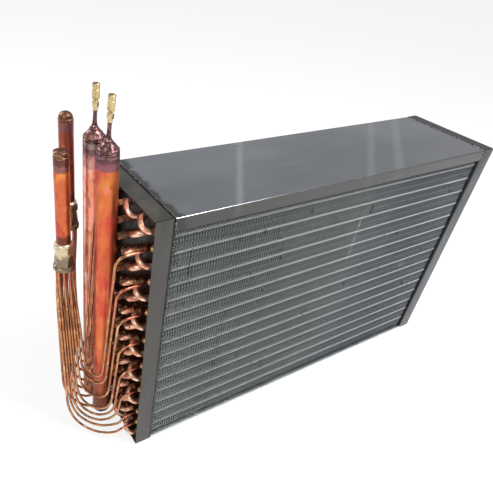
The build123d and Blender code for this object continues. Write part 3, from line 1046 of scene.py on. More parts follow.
@dataclass
class FinBank:
    """The rippled fins, in four pieces along the core.

    Real fins are two to three times closer. These are as far apart as they have to be to show.
    """

    layout: Layout
    count: int = 144
    pieces: int = 4
    apart: float = 6.35          # from fin to fin
    foil: float = 0.2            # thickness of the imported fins
    thick: float = 0.45          # drawn thicker than foil, so that the cut edge shows
    seed: int = 900
    crease: float = 25.0         # edges that turn more than this many degrees stay crisp
    ridge: float = 4.4           # sideways throw of the pressed ridge of each row
    ridge_under: float = 2.3     # height of its flank that looks up
    ridge_over: float = 6.5      # and of the one that looks down
    lesser: float = 0.3          # the ridge midway between rows, as a share
    small: float = 0.9           # throw of the fine ripples
    near: float = 2.1            # more of it, where handling has crushed the left end
    near_reach: float = 150.0
    ripples: int = 6             # fine ripples from row to row
    slack: float = 0.4           # a fin may lean this much over its height
    shift: float = 0.12          # and its pressing sit this much high or low
    wave: float = 0.35           # slow wander of neighbouring fins
    edge: float = 7.0            # depth over which a fin's pattern is deepest
    inside: float = 0.8          # share of the pattern further in
    bent_inside: float = 0.3     # share of a knock that reaches there
    drawn_at: tuple[float, ...] = (
        # shares of a row at which a fin's outline has a point, closer over the ridges
        0.0, 0.03, 0.06, 0.12, 0.17, 0.24, 0.31, 0.37, 0.43, 0.5, 0.53, 0.56, 0.64, 0.71, 0.79,
        0.84, 0.92)
    bends: tuple[tuple[float, float, float, float, float], ...] = (
        # along the fins, height, half length, half height, sideways push
        (18, 520, 10, 22, 2.6), (44, 498, 8, 30, -2.4), (66, 470, 12, 24, 2.2),
        (30, 452, 9, 20, -2.4), (80, 430, 8, 26, 2.0), (12, 412, 7, 22, 2.2),
        (522, 440, 6, 150, 3.4), (270, 502, 7, 26, 3.0), (579, 276, 14, 10, -3.2),
        (778, 294, 12, 12, 3.0), (153, 300, 9, 190, -1.4), (232, 330, 14, 160, 1.3),
        (640, 380, 20, 60, 1.2), (410, 210, 18, 50, -1.3), (840, 470, 14, 60, 1.5),
    )

    def levels(self, low: float, high: float) -> list[float]:
        """Heights at which a fin's outline is drawn.

        Args:
            low: the fin's lower edge.
            high: its upper edge.

        Returns:
            Heights from the top down: close together over each ridge.
        """
        rows = self.layout.rows
        pitch = (high - low) / rows
        drawn = [high - (row + share) * pitch for row in range(rows) for share in self.drawn_at]
        return [*drawn, low]

    def throw(self, along: float, z: float, high: float, pitch: float) -> float:
        """Sideways place of a fin's edge at a height.

        Args:
            along: the fin's distance from the left tube sheet.
            z: the height.
            high: the fin's upper edge.
            pitch: from row to row.

        Returns:
            Millimetres towards the right.
        """
        total = 0.0
        for centre, share in ((0.0, 1.0), (0.5, self.lesser)):
            below = (((high - z) / pitch - centre + 0.5) % 1.0 - 0.5) * pitch
            reach = self.ridge_under if below > 0 else self.ridge_over
            total += share * self.ridge * max(0.0, 1 - abs(below) / reach)
        small = self.small + self.near * exp(-along / self.near_reach)
        return total + small * sin((high - z) / pitch * 2 * self.ripples * pi)

    def pushed(self, x: float, z: float) -> float:
        """How far knocks have bent the front edges at a place.

        Args:
            x: distance from the left tube sheet.
            z: height.

        Returns:
            Millimetres towards the right.
        """
        total = 0.0
        for along, height, half, tall, push in self.bends:
            total += push * exp(-((x - along) / half) ** 2 - ((z - height) / tall) ** 2)
        return total

    def fin(self, form: Form, x: float, along: float, draw: random.Random,
            low: Vector, high: Vector) -> None:
        """One fin as a closed sheet.

        Args:
            form: the mesh to add to.
            x: the fin's middle.
            along: its distance from the left tube sheet.
            draw: this fin's own unevenness.
            low: lowest corner of the fin pack.
            high: its highest corner.
        """
        pitch = (high.z - low.z) / self.layout.rows
        lean = draw.uniform(-self.slack, self.slack)
        shift = draw.uniform(-self.shift, self.shift)
        ys = (low.y, low.y + self.edge, high.y - self.edge, high.y)
        grid: list[list[Vector]] = []
        for z in self.levels(low.z, high.z):
            throw = self.throw(along, z, high.z, pitch)
            wave = lean * (z - low.z) / (high.z - low.z) + self.wave * noise.noise(
                Vector((along * 0.11, z * 0.035, 0)))
            push = self.pushed(along, z)
            inner = shift if low.z < z < high.z else 0.0
            grid.append([
                Vector((x + throw * share + wave + push * bent, y, z + inner))
                for y, share, bent in zip(ys, (1, self.inside, self.inside, 1),
                                          (1, self.bent_inside, 0, 0))])
        self.sheet(form, grid)

    def sheet(self, form: Form, grid: list[list[Vector]]) -> None:
        """Thicken a grid of points into a closed sheet.

        Args:
            form: the mesh to add to.
            grid: rows of points, top down, front to back.
        """
        start, columns, rows = len(form.points), len(grid[0]), len(grid)
        half = Vector((self.thick / 2, 0, 0))
        for sign in (-1, 1):
            for row in grid:
                form.points.extend(point + sign * half for point in row)
        size = rows * columns

        def at(layer: int, i: int, j: int) -> int:
            """Number of a point.

            Args:
                layer: 0 on the left, 1 on the right.
                i: its row.
                j: its column.

            Returns:
                The point's place in the form.
            """
            return start + layer * size + i * columns + j

        for i in range(rows - 1):
            for j in range(columns - 1):
                form.faces.append((at(0, i, j), at(0, i + 1, j), at(0, i + 1, j + 1),
                                   at(0, i, j + 1)))
                form.faces.append((at(1, i, j), at(1, i, j + 1), at(1, i + 1, j + 1),
                                   at(1, i + 1, j)))
            for j, turn in ((0, 1), (columns - 1, -1)):
                edge = (at(0, i, j), at(1, i, j), at(1, i + 1, j), at(0, i + 1, j))
                form.faces.append(edge[::turn])
        for j in range(columns - 1):
            for i, turn in ((0, -1), (rows - 1, 1)):
                edge = (at(0, i, j), at(1, i, j), at(1, i, j + 1), at(0, i, j + 1))
                form.faces.append(edge[::turn])

    def build(self) -> list[bpy.types.Object]:
        """Every fin, grouped in pieces.

        Returns:
            The pieces from left to right.
        """
        low, high = cad_box("fin_pack")
        pitch = (high.x - low.x) / (self.count - 1 + self.foil / self.apart)
        first = low.x + self.foil / 2
        made = []
        per = self.count // self.pieces
        for group in range(self.pieces):
            form = Form()
            for i in range(group * per, (group + 1) * per):
                x = first + i * pitch
                draw = random.Random(self.seed + i)
                self.fin(form, x, x - self.layout.left, draw, low, high)
            made.append(form.piece(f"fin_bank_{group + 1}", FIN_FOIL, "fin_foil", ["fin_pack"],
                                   self.crease))
        return made


@dataclass
class CoreTubes:
    """The hairpins, the bends that join them and the collars in the tube sheets."""

    layout: Layout
    side: Side
    bell: float = 0.75           # the mouths open by this much
    bell_length: float = 9.0
    leg: float = 4.0             # straight part beyond the right tube sheet
    bend_leg: float = 0.5        # and of a return bend, at the left
    sides: int = 16
    bend_sides: int = 18
    bend_steps: int = 16         # chords of a return bend
    rings: tuple[tuple[float, float], ...] = (
        # place along a braze ring from the mouth, share of its thickness
        (0.2, 1.0), (-0.8, 0.9), (-2.0, 0.35))
    rim: tuple[tuple[float, float], ...] = (
        # distance out of the tube sheet and from the tube's wall of a pulled rim
        (-0.3, 2.2), (0.6, 1.3), (1.4, 0.8), (2.6, 0.6))

    def hairpins(self) -> bpy.types.Object:
        """Round tubes through the core, with belled mouths at the left.

        Returns:
            The hairpins' piece.
        """
        form, at = Form(), self.layout
        radius = at.tube_dia / 2
        for band in at.bands:
            for first, second in at.hairpins(self.side):
                a, b = at.centre(first, band), at.centre(second, band)
                turn = u_path(at.right, a, b, self.leg, 1)
                path, radii = [], []
                for (y, z), way in ((a, 1), (b, -1)):
                    ends = [(0, -0.3), (0.9, self.bell), (self.bell_length, self.bell),
                            (self.bell_length + 3.5, 0), (self.bell_length + 14, 0)]
                    points = [Vector((at.mouth + along, y, z)) for along, _ in ends]
                    swell = [radius + more for _, more in ends]
                    if way > 0:
                        path += points + turn
                        radii += swell + [radius] * len(turn)
                    else:
                        path += points[::-1]
                        radii += swell[::-1]
                form.tube(path, radii, self.sides)
        return form.piece(f"core_tubes_{self.side.value}", CORE_COPPER, "core_tube",
                          [f"hairpins_{self.side.value}"])

    def crossovers(self) -> bpy.types.Object:
        """The return bends, round tubes from mouth to mouth.

        Returns:
            The bends' piece.
        """
        form, at = Form(), self.layout
        radius = at.tube_dia / 2
        for band in at.bands:
            for first, second in at.bends(self.side, band):
                a, b = at.centre(first, band), at.centre(second, band)
                path = u_path(at.mouth, a, b, self.bend_leg, -1, self.bend_steps)
                form.tube(path, [radius] * len(path), self.bend_sides)
        return form.piece(f"return_bends_{self.side.value}_round", BEND_COPPER, "return_bend",
                          [f"return_bends_{self.side.value}"])

    def fillets(self) -> bpy.types.Object:
        """Rings of braze round each mouth.

        Returns:
            The rings' piece.
        """
        form, at = Form(), self.layout
        radius = at.tube_dia / 2
        tubes = [tube for band in at.bands for pair in at.bends(self.side, band)
                 for tube in (at.centre(pair[0], band), at.centre(pair[1], band))]
        tubes += [at.stub_end(self.side, band) for band in at.bands]
        for number, (y, z) in enumerate(tubes):
            draw = random.Random(number)
            thick = draw.uniform(0.5, 1.0)
            steps = [(0.8, 0.1), *((x, thick * share) for x, share in self.rings), (-2.9, -0.2)]
            form.tube([Vector((at.mouth + along, y, z)) for along, _ in steps],
                      [radius + more for _, more in steps], 14)
        return form.piece(f"braze_rings_{self.side.value}", BRAZE_FILLET, "return_bend")

    def collars(self) -> bpy.types.Object:
        """The holes' pulled rims, where the tubes pass the tube sheets.

        Returns:
            The collars' piece.
        """
        form, at = Form(), self.layout
        radius = at.tube_dia / 2
        for band in at.bands:
            for pair in at.hairpins(self.side):
                for tube in pair:
                    y, z = at.centre(tube, band)
                    for x, way in ((at.left, -1), (at.right, 1)):
                        path = [Vector((x + way * out, y, z)) for out, _ in self.rim]
                        form.tube(path, [radius + more for _, more in self.rim], self.sides)
        return form.piece(f"tube_collars_{self.side.value}", TUBE_SHEET, "casing_sheet")

    def build(self) -> list[bpy.types.Object]:
        """Hairpins, bends, braze and collars."""
        return [self.hairpins(), self.crossovers(), self.fillets(), self.collars()]


# ------------------------------------------------------------- headers


@dataclass
class Header:
    """A suction header: tube, two spun caps, its branches and its charging valve."""

    layout: Layout
    side: Side
    sides: int = 56
    lean: float = 0.0            # of the valve, in degrees
    lean_way: float = 0.0        # the bearing of the line that it tips about, in degrees
    steps: int = 26              # rings up the tube
    out_of_round: float = 0.22
    pinch: float = 3.2           # how deep the caps' dents are
    dome: tuple[tuple[float, float], ...] = (
        # share of the cap's radius, and of its rise, up the dome
        (0.86, 0.12), (0.79, 0.28), (0.71, 0.45), (0.61, 0.62), (0.5, 0.77), (0.4, 0.89),
        (0.31, 0.97), (0.24, 1.0))
    skirt: float = 9.3           # height at which the dome starts
    fillet: tuple[tuple[float, float], ...] = (
        # distance out of the header's wall and width of the braze round a branch
        (0.2, 2.3), (0.9, 1.5), (1.9, 0.8), (3.4, 0.15))
    fillet_seed: int = 70
    fillet_sides: int = 24
    fillet_uneven: float = 0.25  # how far a fillet's width varies, as a share
    branch_steps: int = 4
    branch_sides: int = 20
    hex_half: float = 5.25       # half the valve's hexagon across its flats
    hex_span: tuple[float, float] = (6.5, 15.5)
    grooves: int = 20            # of the valve cap's knurling
    groove: float = 0.35         # their depth
    slot_half: float = 1.9       # half the width of the slot in the valve's cap
    slot_deep: float = 4.2

    @property
    def finish(self) -> Metal:
        """The tube's finish."""
        return FRONT_HEADER if self.side is Side.FRONT else REAR_HEADER

    def axis(self) -> tuple[Vector, float, float, float]:
        """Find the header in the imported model.

        Returns:
            Its axis at height 0, its radius, its bottom and its top.
        """
        low, high = cad_box(f"header_{self.side.value}")
        middle = (low + high) / 2
        return Vector((middle.x, middle.y, 0)), (high.x - low.x) / 2, low.z, high.z

    def tube(self) -> bpy.types.Object:
        """The header's tube, rolled in over the cap at both ends.

        Returns:
            The tube's piece.
        """
        form = Form()
        foot, radius, bottom, top = self.axis()
        profile = [(radius - 1.6, bottom), (radius - 0.2, bottom + 0.6), (radius, bottom + 2.0)]
        for i in range(1, self.steps):
            profile.append((radius, bottom + 2 + (top - bottom - 4) * i / self.steps))
        profile += [(radius, top - 2.0), (radius - 0.2, top - 0.6), (radius - 1.6, top)]

        def handled(r: float, turn: float, height: float) -> float:
            """Take the tube slightly out of round.

            Args:
                r: the true radius.
                turn: bearing about the axis.
                height: height above the foot.

            Returns:
                The radius to draw.
            """
            return r - self.out_of_round * uneven(turn, height, 0.8, 0.012)

        form.turned(foot, profile, self.sides, handled)
        return form.piece(f"header_tube_{self.side.value}", self.finish, "header_tube",
                          [f"header_{self.side.value}"])

    def caps(self) -> bpy.types.Object:
        """The two caps: a crimped skirt, a pinched dome and a flat crown.

        Returns:
            The caps' piece.
        """
        form = Form()
        foot, _, bottom, top = self.axis()
        low, high = cad_box(f"header_caps_{self.side.value}")
        radius = (high.x - low.x) / 2 - 0.15
        rise = high.z - top
        seed = 3.0 if self.side is Side.FRONT else 8.0
        profile = [(radius - 1.2, 0.0), (radius - 0.2, 0.6), (radius - 0.2, 3.4),
                   (radius - 1.3, 4.2), (radius - 1.4, 5.0), (radius - 0.1, 5.8), (radius, 7.2),
                   (radius - 0.5, 8.6), (radius - 1.9, self.skirt)]
        profile += [(radius * out, self.skirt + (rise - self.skirt) * up)
                    for out, up in self.dome]

        def pinched(r: float, turn: float, height: float) -> float:
            """Dent the dome, and leave the skirt as it is.

            Args:
                r: the true radius.
                turn: bearing about the axis.
                height: height above the foot.

            Returns:
                The radius to draw.
            """
            share = smooth((height - 4.5) / 5)
            return r - share * self.pinch * uneven(turn, height, 1.9, 0.12, seed) * (r / radius)

        form.turned(Vector((foot.x, foot.y, top)), profile, self.sides, pinched)
        upside = [(r, -z) for r, z in reversed(profile)]
        form.turned(Vector((foot.x, foot.y, bottom)), upside, self.sides,
                    lambda r, turn, height: pinched(r, turn, -height))
        return form.piece(f"header_cap_{self.side.value}", CAP_COPPER, "end_cap",
                          [f"header_caps_{self.side.value}"])

    def stubs(self) -> bpy.types.Object:
        """The branches from the core's tubes into the header.

        Returns:
            The branches' piece.
        """
        form, at = Form(), self.layout
        low = cad_box(f"suction_stubs_{self.side.value}")[0]
        for band in at.bands:
            y, z = at.stub_end(self.side, band)
            path = [Vector((at.mouth + (low.x - at.mouth) * i / self.branch_steps, y, z))
                    for i in range(self.branch_steps + 1)]
            form.tube(path, [at.tube_dia / 2] * len(path), self.branch_sides)
        return form.piece(f"suction_branches_{self.side.value}", BEND_COPPER, "return_bend",
                          [f"suction_stubs_{self.side.value}"])

    def braze(self) -> bpy.types.Object:
        """A fillet of braze round each branch at the header's wall.

        Returns:
            The fillets' piece.
        """
        form, at = Form(), self.layout
        foot, radius, _, _ = self.axis()
        for number, band in enumerate(at.bands):
            y, z = at.stub_end(self.side, band)
            draw = random.Random(self.fillet_seed + number)
            rings = []
            for reach, out in self.fillet:
                ring = []
                for i in range(self.fillet_sides):
                    turn = 2 * pi * i / self.fillet_sides
                    width = out * (1 + self.fillet_uneven * draw.uniform(-1, 1))
                    r = at.tube_dia / 2 + width
                    dy, dz = r * cos(turn), r * sin(turn)
                    wall = (radius ** 2 - min(dy * dy, (radius * 0.9) ** 2)) ** 0.5
                    ring.append(Vector((foot.x + wall + reach - 0.4, foot.y + dy, z + dz)))
                rings.append(ring)
            form.rings(rings)
        return form.piece(f"branch_braze_{self.side.value}", BRAZE_FILLET, "return_bend")

    def valve(self) -> list[bpy.types.Object]:
        """Stem, body and slotted cap of the charging valve.

        Returns:
            The three pieces.
        """
        side = self.side.value
        low, high = cad_box(f"valve_stem_{side}")
        foot = Vector(((low.x + high.x) / 2, (low.y + high.y) / 2, low.z))
        turned = Matrix.Rotation(radians(self.lean), 3, Vector((
            cos(radians(self.lean_way)), sin(radians(self.lean_way)), 0)))
        length = high.z - low.z
        stem = Form()
        stem.turned(foot, [(9.0, -0.8), (7.8, 1.0), (6.0, 3.0), (4.8, 6.0), (4.1, 10.0),
                           (3.6, 16.0), (3.5, length - 5), (3.7, length - 3), (4.0, length - 1),
                           (3.7, length)], 24, lean=turned)
        body_low, body_high = cad_box(f"valve_body_{side}")
        rise = body_high.z - body_low.z
        up = body_low.z - low.z

        def hexed(r: float, turn: float, height: float) -> float:
            """Cut the body's middle to a hexagon.

            Args:
                r: the true radius.
                turn: bearing about the axis.
                height: height above the foot.

            Returns:
                The radius to draw.
            """
            if self.hex_span[0] < height - up < self.hex_span[1]:
                return min(r, hexagon(turn, self.hex_half))
            return r

        body = Form()
        body.turned(foot, [(3.6, up), (4.2, up + 0.6), (4.2, up + 6.4), (4.2, up + 6.6),
                           (5.5, up + 7.0), (6.0, up + 7.8), (6.0, up + 14.2), (5.5, up + 15.0),
                           (4.2, up + 15.4), (4.2, up + rise - 1.4), (3.6, up + rise)], 48, hexed,
                    turned)
        cap_low, cap_high = cad_box(f"valve_cap_{side}")
        tall = cap_high.z - cap_low.z
        base = cap_low.z - low.z
        radius = (cap_high.x - cap_low.x) / 2 - 0.05

        def knurled(r: float, turn: float, height: float) -> float:
            """Cut grooves up the cap's grip.

            Args:
                r: the true radius.
                turn: bearing about the axis.
                height: height above the foot.

            Returns:
                The radius to draw.
            """
            ridge = 0.5 - 0.5 * cos(turn * self.grooves)
            share = 1.0 if 1.5 < height - base < tall * 0.62 else 0.0
            return r - self.groove * ridge * share

        cap = Form()
        skirt = [(radius - 0.8, base), (radius, base + 1.0), (radius, base + 2.0)]
        skirt += [(radius, base + tall * share) for share in (0.25, 0.4, 0.55, 0.6)]
        skirt += [(radius - 0.7, base + tall * 0.63), (radius - 0.7, base + tall * 0.68)]
        slot = base + tall - self.slot_deep
        skirt += [(radius - 0.3, base + tall * 0.71), (radius - 0.3, slot)]
        cap.turned(foot, skirt, 80, knurled, turned)
        for way in (-1, 1):
            cap.rings(self.jaw(foot, turned, radius - 0.3, way, slot, base + tall))
        return [
            stem.piece(f"valve_tail_{side}", CAP_COPPER, "end_cap", [f"valve_stem_{side}"]),
            body.piece(f"valve_hexagon_{side}", VALVE_BRASS, "valve_brass",
                       [f"valve_body_{side}"], 25),
            cap.piece(f"valve_key_cap_{side}", VALVE_BRASS, "valve_brass",
                      [f"valve_cap_{side}"], 25),
        ]

    def jaw(self, foot: Vector, lean: Matrix, radius: float, way: int, low: float,
            high: float) -> list[list[Vector]]:
        """One of the two lugs beside the cap's slot.

        Args:
            foot: the valve's foot.
            lean: the valve's tilt.
            radius: of the cap.
            way: 1 or -1, the side of the slot.
            low: height of the slot's bottom above the foot.
            high: height of the cap's top.

        Returns:
            Rings of points from the bottom up.
        """
        half = self.slot_half
        start = atan2(half, radius)
        turns = [start + (pi - 2 * start) * i / 12 for i in range(13)]
        rings = []
        for height, r in ((low, radius), (high - 0.6, radius), (high, radius - 0.6)):
            ring = [Vector((r * cos(turn), way * max(half, r * sin(turn)), height))
                    for turn in turns]
            if way < 0:
                ring.reverse()
            rings.append([foot + lean @ point for point in ring])
        return rings

    def build(self) -> list[bpy.types.Object]:
        """Tube, caps, branches, braze and valve."""
        return [self.tube(), self.caps(), self.stubs(), self.braze(), *self.valve()]


# ------------------------------------------------- distributors and leads


@dataclass
class Distributor:
    """A turned distributor with its brazed collar, inlet tube and cap."""

    layout: Layout
    side: Side
    flats: float = 17.5          # half the hexagon across its flats
    rim: float = 9.0             # height of the round rim under the flats
    cone_top: float = 40.0
    cone_steps: int = 16
    waist: float = 18.4          # radius where the cone ends
    slump: float = 0.8           # how uneven the collar is
    dent: float = 0.7            # and the inlet's cap
    rolled: float = 0.15         # and the inlet tube

    def build(self) -> list[bpy.types.Object]:
        """Body, collar, inlet tube and cap.

        Returns:
            The pieces from the bottom up.
        """
        return [self.body(), self.collar(), self.inlet(), self.cap()]

    def foot(self, node: str) -> tuple[Vector, float, float]:
        """Find one of the distributor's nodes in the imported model.

        Args:
            node: its name without the side.

        Returns:
            Its middle at the foot, its radius and its height.
        """
        low, high = cad_box(f"{node}_{self.side.value}")
        return (Vector(((low.x + high.x) / 2, (low.y + high.y) / 2, low.z)),
                (high.x - low.x) / 2, high.z - low.z)

    def body(self) -> bpy.types.Object:
        """The cone with its rim, cut into scallops where the hexagon's flats meet it.

        Returns:
            The body's piece.
        """
        foot, radius, tall = self.foot("distributor")
        radius -= 0.2

        def scalloped(r: float, turn: float, height: float) -> float:
            """Cut the hexagon's flats above the rim.

            Args:
                r: the true radius.
                turn: bearing about the axis.
                height: height above the foot.

            Returns:
                The radius to draw.
            """
            return r if height < self.rim else min(r, hexagon(turn, self.flats))

        profile = [(radius - 6.5, 1.6), (radius - 1.6, 0.0), (radius, 1.0), (radius, 6.6),
                   (radius - 0.8, 7.8)]
        for i in range(self.cone_steps + 1):
            share = i / self.cone_steps
            profile.append((radius - 1.2 - (radius - self.waist) * share,
                            8.4 + (self.cone_top - 8.4) * share))
        profile += [(20.0, self.cone_top + 0.5), (20.0, tall - 1.6), (self.waist, tall)]
        form = Form()
        form.turned(foot, profile, 96, scalloped)
        finish = FLUXED_BRASS if self.side is Side.FRONT else DISTRIBUTOR_BRASS
        return form.piece(f"distributor_body_{self.side.value}", finish,
                          "distributor_brass", [f"distributor_{self.side.value}"], 24)

    def collar(self) -> bpy.types.Object:
        """The slumped ring of brazing alloy at the body's top.

        Returns:
            The collar's piece.
        """
        foot, radius, tall = self.foot("distributor_collar")
        radius -= 0.1

        def slumped(r: float, turn: float, height: float) -> float:
            """Let the molten ring sag unevenly.

            Args:
                r: the true radius.
                turn: bearing about the axis.
                height: height above the foot.

            Returns:
                The radius to draw.
            """
            return r - self.slump * uneven(turn, height, 1.5, 0.2)

        profile = [(radius - 2.0, 0.0), (radius - 0.3, 0.7), (radius, 2.2), (radius - 0.3, 4.0),
                   (radius - 1.6, 5.6), (radius - 3.2, 6.6), (15.0, tall)]
        form = Form()
        form.turned(foot, profile, 56, slumped)
        return form.piece(f"collar_ring_{self.side.value}", BRAZE_COLLAR, "braze_collar",
                          [f"distributor_collar_{self.side.value}"])

    def inlet(self) -> bpy.types.Object:
        """The tube from the expansion valve.

        Returns:
            The tube's piece.
        """
        foot, radius, tall = self.foot("inlet_tube")

        def handled(r: float, turn: float, height: float) -> float:
            """Take the tube slightly out of round.

            Args:
                r: the true radius.
                turn: bearing about the axis.
                height: height above the foot.

            Returns:
                The radius to draw.
            """
            return r - self.rolled * uneven(turn, height, 1.0, 0.02)

        profile = [(radius - 0.6, 0.0), (radius - 0.1, 0.6)]
        profile += [(radius, 2 + (tall - 4) * i / 14) for i in range(15)]
        profile += [(radius - 0.1, tall - 0.6), (radius - 0.9, tall)]
        form = Form()
        form.turned(foot, profile, 48, handled)
        finish = FRONT_INLET if self.side is Side.FRONT else REAR_INLET
        return form.piece(f"inlet_pipe_{self.side.value}", finish, "header_tube",
                          [f"inlet_tube_{self.side.value}"])

    def cap(self) -> bpy.types.Object:
        """The cap: flat with a rolled rim in front, a dome at the rear.

        Returns:
            The cap's piece.
        """
        foot, radius, tall = self.foot("inlet_cap")
        radius -= 0.1
        if self.side is Side.FRONT:
            profile = [(radius - 0.8, 0.0), (radius, 0.7), (radius, 4.2), (radius - 0.8, 5.0),
                       (radius - 0.8, 9.6), (radius - 0.2, 10.6), (radius - 0.3, 12.6),
                       (radius - 1.4, 13.8), (radius - 4.0, 14.4), (3.0, tall)]
        else:
            profile = [(radius - 0.8, 0.0), (radius, 0.7), (radius, 4.0), (radius - 0.8, 4.8)]
            profile += [((radius - 0.9) * cos(pi / 2 * i / 10), 6 + (tall - 6) * sin(pi / 2 * i / 10))
                        for i in range(10)]
            profile.append((1.0, tall))

        def dented(r: float, turn: float, height: float) -> float:
            """Dent the cap above its skirt.

            Args:
                r: the true radius.
                turn: bearing about the axis.
                height: height above the foot.

            Returns:
                The radius to draw.
            """
            return r - self.dent * uneven(turn, height, 1.4, 0.15) * smooth((height - 4) / 4)

        form = Form()
        form.turned(foot, profile, 48, dented)
        return form.piece(f"inlet_end_{self.side.value}", INLET_CAP, "end_cap",
                          [f"inlet_cap_{self.side.value}"])


@dataclass
class Leads:
    """The eight small tubes from a distributor, nested in loops, to the tube mouths."""

    layout: Layout
    side: Side
    dia: float = 5.5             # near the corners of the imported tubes
    sides: int = 12
    share: float = 0.45          # share of the shorter run that a bend takes
    sweep: float = 1.6           # and how many times more of a longer one
    circle: float = 30.0         # on which the leads leave the distributor
    drop: float = 24.0           # straight run under it
    last_bend: float = 22.0      # longest reach of the bend before the tube mouth
    pitch: float = 5.8           # from lead to lead in a bundle
    layer: float = 1.5           # every other lead lies this much further back
    rise: float = 0.55           # a loop starts this share of its width above its lowest point
    lift: float = 0.3            # and ends this share of its height above it
    sag: float = 0.13            # its corner lies this share of its width below
    # Lowest points of the loops, from the top row's lead down.
    front_loops: tuple[int, ...] = (188, 165, 120, 80, 60, 42, 28, 16)
    rear_loops: tuple[int, ...] = (225, 196, 166, 136, 106, 78, 52)
    # Places beyond the left tube sheet and depths in tube columns, with a height if fixed.
    front_bundle: Point = (120.0, 5.41, 320.0)
    front_descent: tuple[float, float] = (120.0, 4.15)
    front_riser: tuple[float, float] = (99.0, 5.5)         # the first, and from lead to lead
    front_loop_end: tuple[float, float] = (2.47, 4.5)      # its depth, and from lead to lead
    last_foot: float = 20.0      # the last front loop ends this much further out
    rear_bundle: Point = (106.0, 7.405, 380.0)
    rear_descent: tuple[float, float] = (109.0, 6.25)
    slot: float = 15.85          # width of the slot between the headers
    slot_approach: tuple[float, float] = (107.0, 5.0)
    slot_mouth: tuple[float, float] = (1.12, 0.139)        # in slot widths, and from lead to lead
    rear_loop_end: tuple[float, float] = (108.0, 6.5)      # the first, and from lead to lead
    rear_riser: tuple[float, float] = (92.0, 5.5)
    last_rear_riser: float = 78.0
    last_rise: tuple[float, float] = (40.0, 3.0)  # the last rear lead's corners over its tube

    @property
    def count(self) -> int:
        """How many leads there are."""
        return len(self.layout.bands)

    def rim(self) -> Vector:
        """The middle of the distributor's lower face."""
        low, high = cad_box(f"distributor_{self.side.value}")
        return Vector(((low.x + high.x) / 2, (low.y + high.y) / 2, low.z))

    def strand(self, number: int) -> Vector:
        """Where a lead leaves the distributor.

        Args:
            number: counted from the top row down.

        Returns:
            The point on the lower face.
        """
        turn = radians(180 / self.count * (1 + 2 * (number // 2)))
        depth = -1 if number % 2 == 0 else 1
        reach = self.circle / 2
        return self.rim() + Vector((reach * cos(turn), depth * reach * sin(turn), 0))

    def bundle(self, number: int, beyond: float, column: float, z: float = 0.0) -> Vector:
        """A lead's place in the bundle, which nests outwards from the core.

        Args:
            number: counted from the top row down.
            beyond: the first lead's distance beyond the left tube sheet.
            column: depth, in tube columns.
            z: height.

        Returns:
            The point.
        """
        return self.layout.station(beyond + number * self.pitch, column, z,
                                   number % 2 * self.layer)

    def loop(self, left: Vector, middle: Vector, right: Vector, lowest: float,
             row: float) -> list[Vector]:
        """Three corners of a loop that hangs between two upright runs.

        Args:
            left: the run that comes down.
            middle: below it, where the loop is lowest.
            right: the run that goes up.
            lowest: height of the loop's underside.
            row: height of the lead's tube.

        Returns:
            The corners.
        """
        across = (right.xy - left.xy).length / 2
        rise = self.rise * across
        lift = min(rise, self.lift * (row - lowest))
        heights = (lowest + rise, lowest - self.sag * across, lowest + lift)
        return [Vector((*point.xy, z)) for point, z in zip((left, middle, right), heights)]

    def route(self, number: int) -> list[Vector]:
        """Corners of a lead, from the distributor to its tube mouth.

        Args:
            number: counted from the top row down.

        Returns:
            The corners.
        """
        at = self.layout
        y, z = at.lead_end(self.side, at.bands[number])
        leaves = self.strand(number)
        start = [leaves, leaves - Vector((0, 0, self.drop))]
        last = number == self.count - 1
        mouth = Vector((at.mouth, y, z))
        if self.side is Side.FRONT:
            riser = self.front_riser[0] - self.front_riser[1] * number
            column, step = self.front_loop_end
            left = self.bundle(number, *self.front_descent)
            right = at.station(riser + (self.last_foot if last else 0), column, back=-step * number)
            low = self.loop(left, (left + right) / 2, right, self.front_loops[number], z)
            return [*start, self.bundle(number, *self.front_bundle), *low,
                    Vector((at.left - riser, y, z)), mouth]
        start.append(self.bundle(number, *self.rear_bundle))
        left = self.bundle(number, *self.rear_descent)
        widths = self.slot_mouth[0] - self.slot_mouth[1] * number
        middle = at.station(*self.slot_approach, back=self.slot * widths)
        if last:
            return [*start, Vector((*left.xy, z + self.last_rise[0])),
                    Vector((*middle.xy, z + self.last_rise[1])),
                    Vector((at.left - self.last_rear_riser, y, z)), mouth]
        right = Vector((at.left - self.rear_loop_end[0] + self.rear_loop_end[1] * number, y, 0))
        low = self.loop(left, middle, right, self.rear_loops[number], z)
        riser = self.rear_riser[0] - self.rear_riser[1] * number
        return [*start, *low, Vector((at.left - riser, y, z)), mouth]

    def lead(self, number: int) -> bpy.types.Object:
        """One lead, a round tube along its route, sunk a little into the distributor.

        Args:
            number: counted from the top row down.

        Returns:
            The lead's piece.
        """
        corners = self.route(number)
        runs = [(b - a).length for a, b in zip(corners, corners[1:])]
        reaches = [(self.share * min(a, self.sweep * b), self.share * min(b, self.sweep * a))
                   for a, b in zip(runs, runs[1:])]
        reaches[-1] = (min(reaches[-1][0], self.last_bend), min(reaches[-1][1], self.last_bend))
        path = self.spaced(swept(corners, reaches))
        path[0] = path[0] + Vector((0, 0, 1.0))
        form = Form()
        form.tube(path, [self.dia / 2] * len(path), self.sides)
        return form.piece(f"feeder_{self.side.value}_{number + 1}", LEAD_COPPER, "lead_tube",
                          [f"lead_{self.side.value}_{number + 1}"])

    @staticmethod
    def spaced(path: list[Vector], most: float = 14.0) -> list[Vector]:
        """Divide long runs, so that the section's shading stays even.

        Args:
            path: the points.
            most: the longest run to keep, in mm.

        Returns:
            The path with points added on its long runs.
        """
        points = [path[0]]
        for a, b in zip(path, path[1:]):
            count = max(1, ceil((b - a).length / most))
            points += [a.lerp(b, i / count) for i in range(1, count + 1)]
        return points

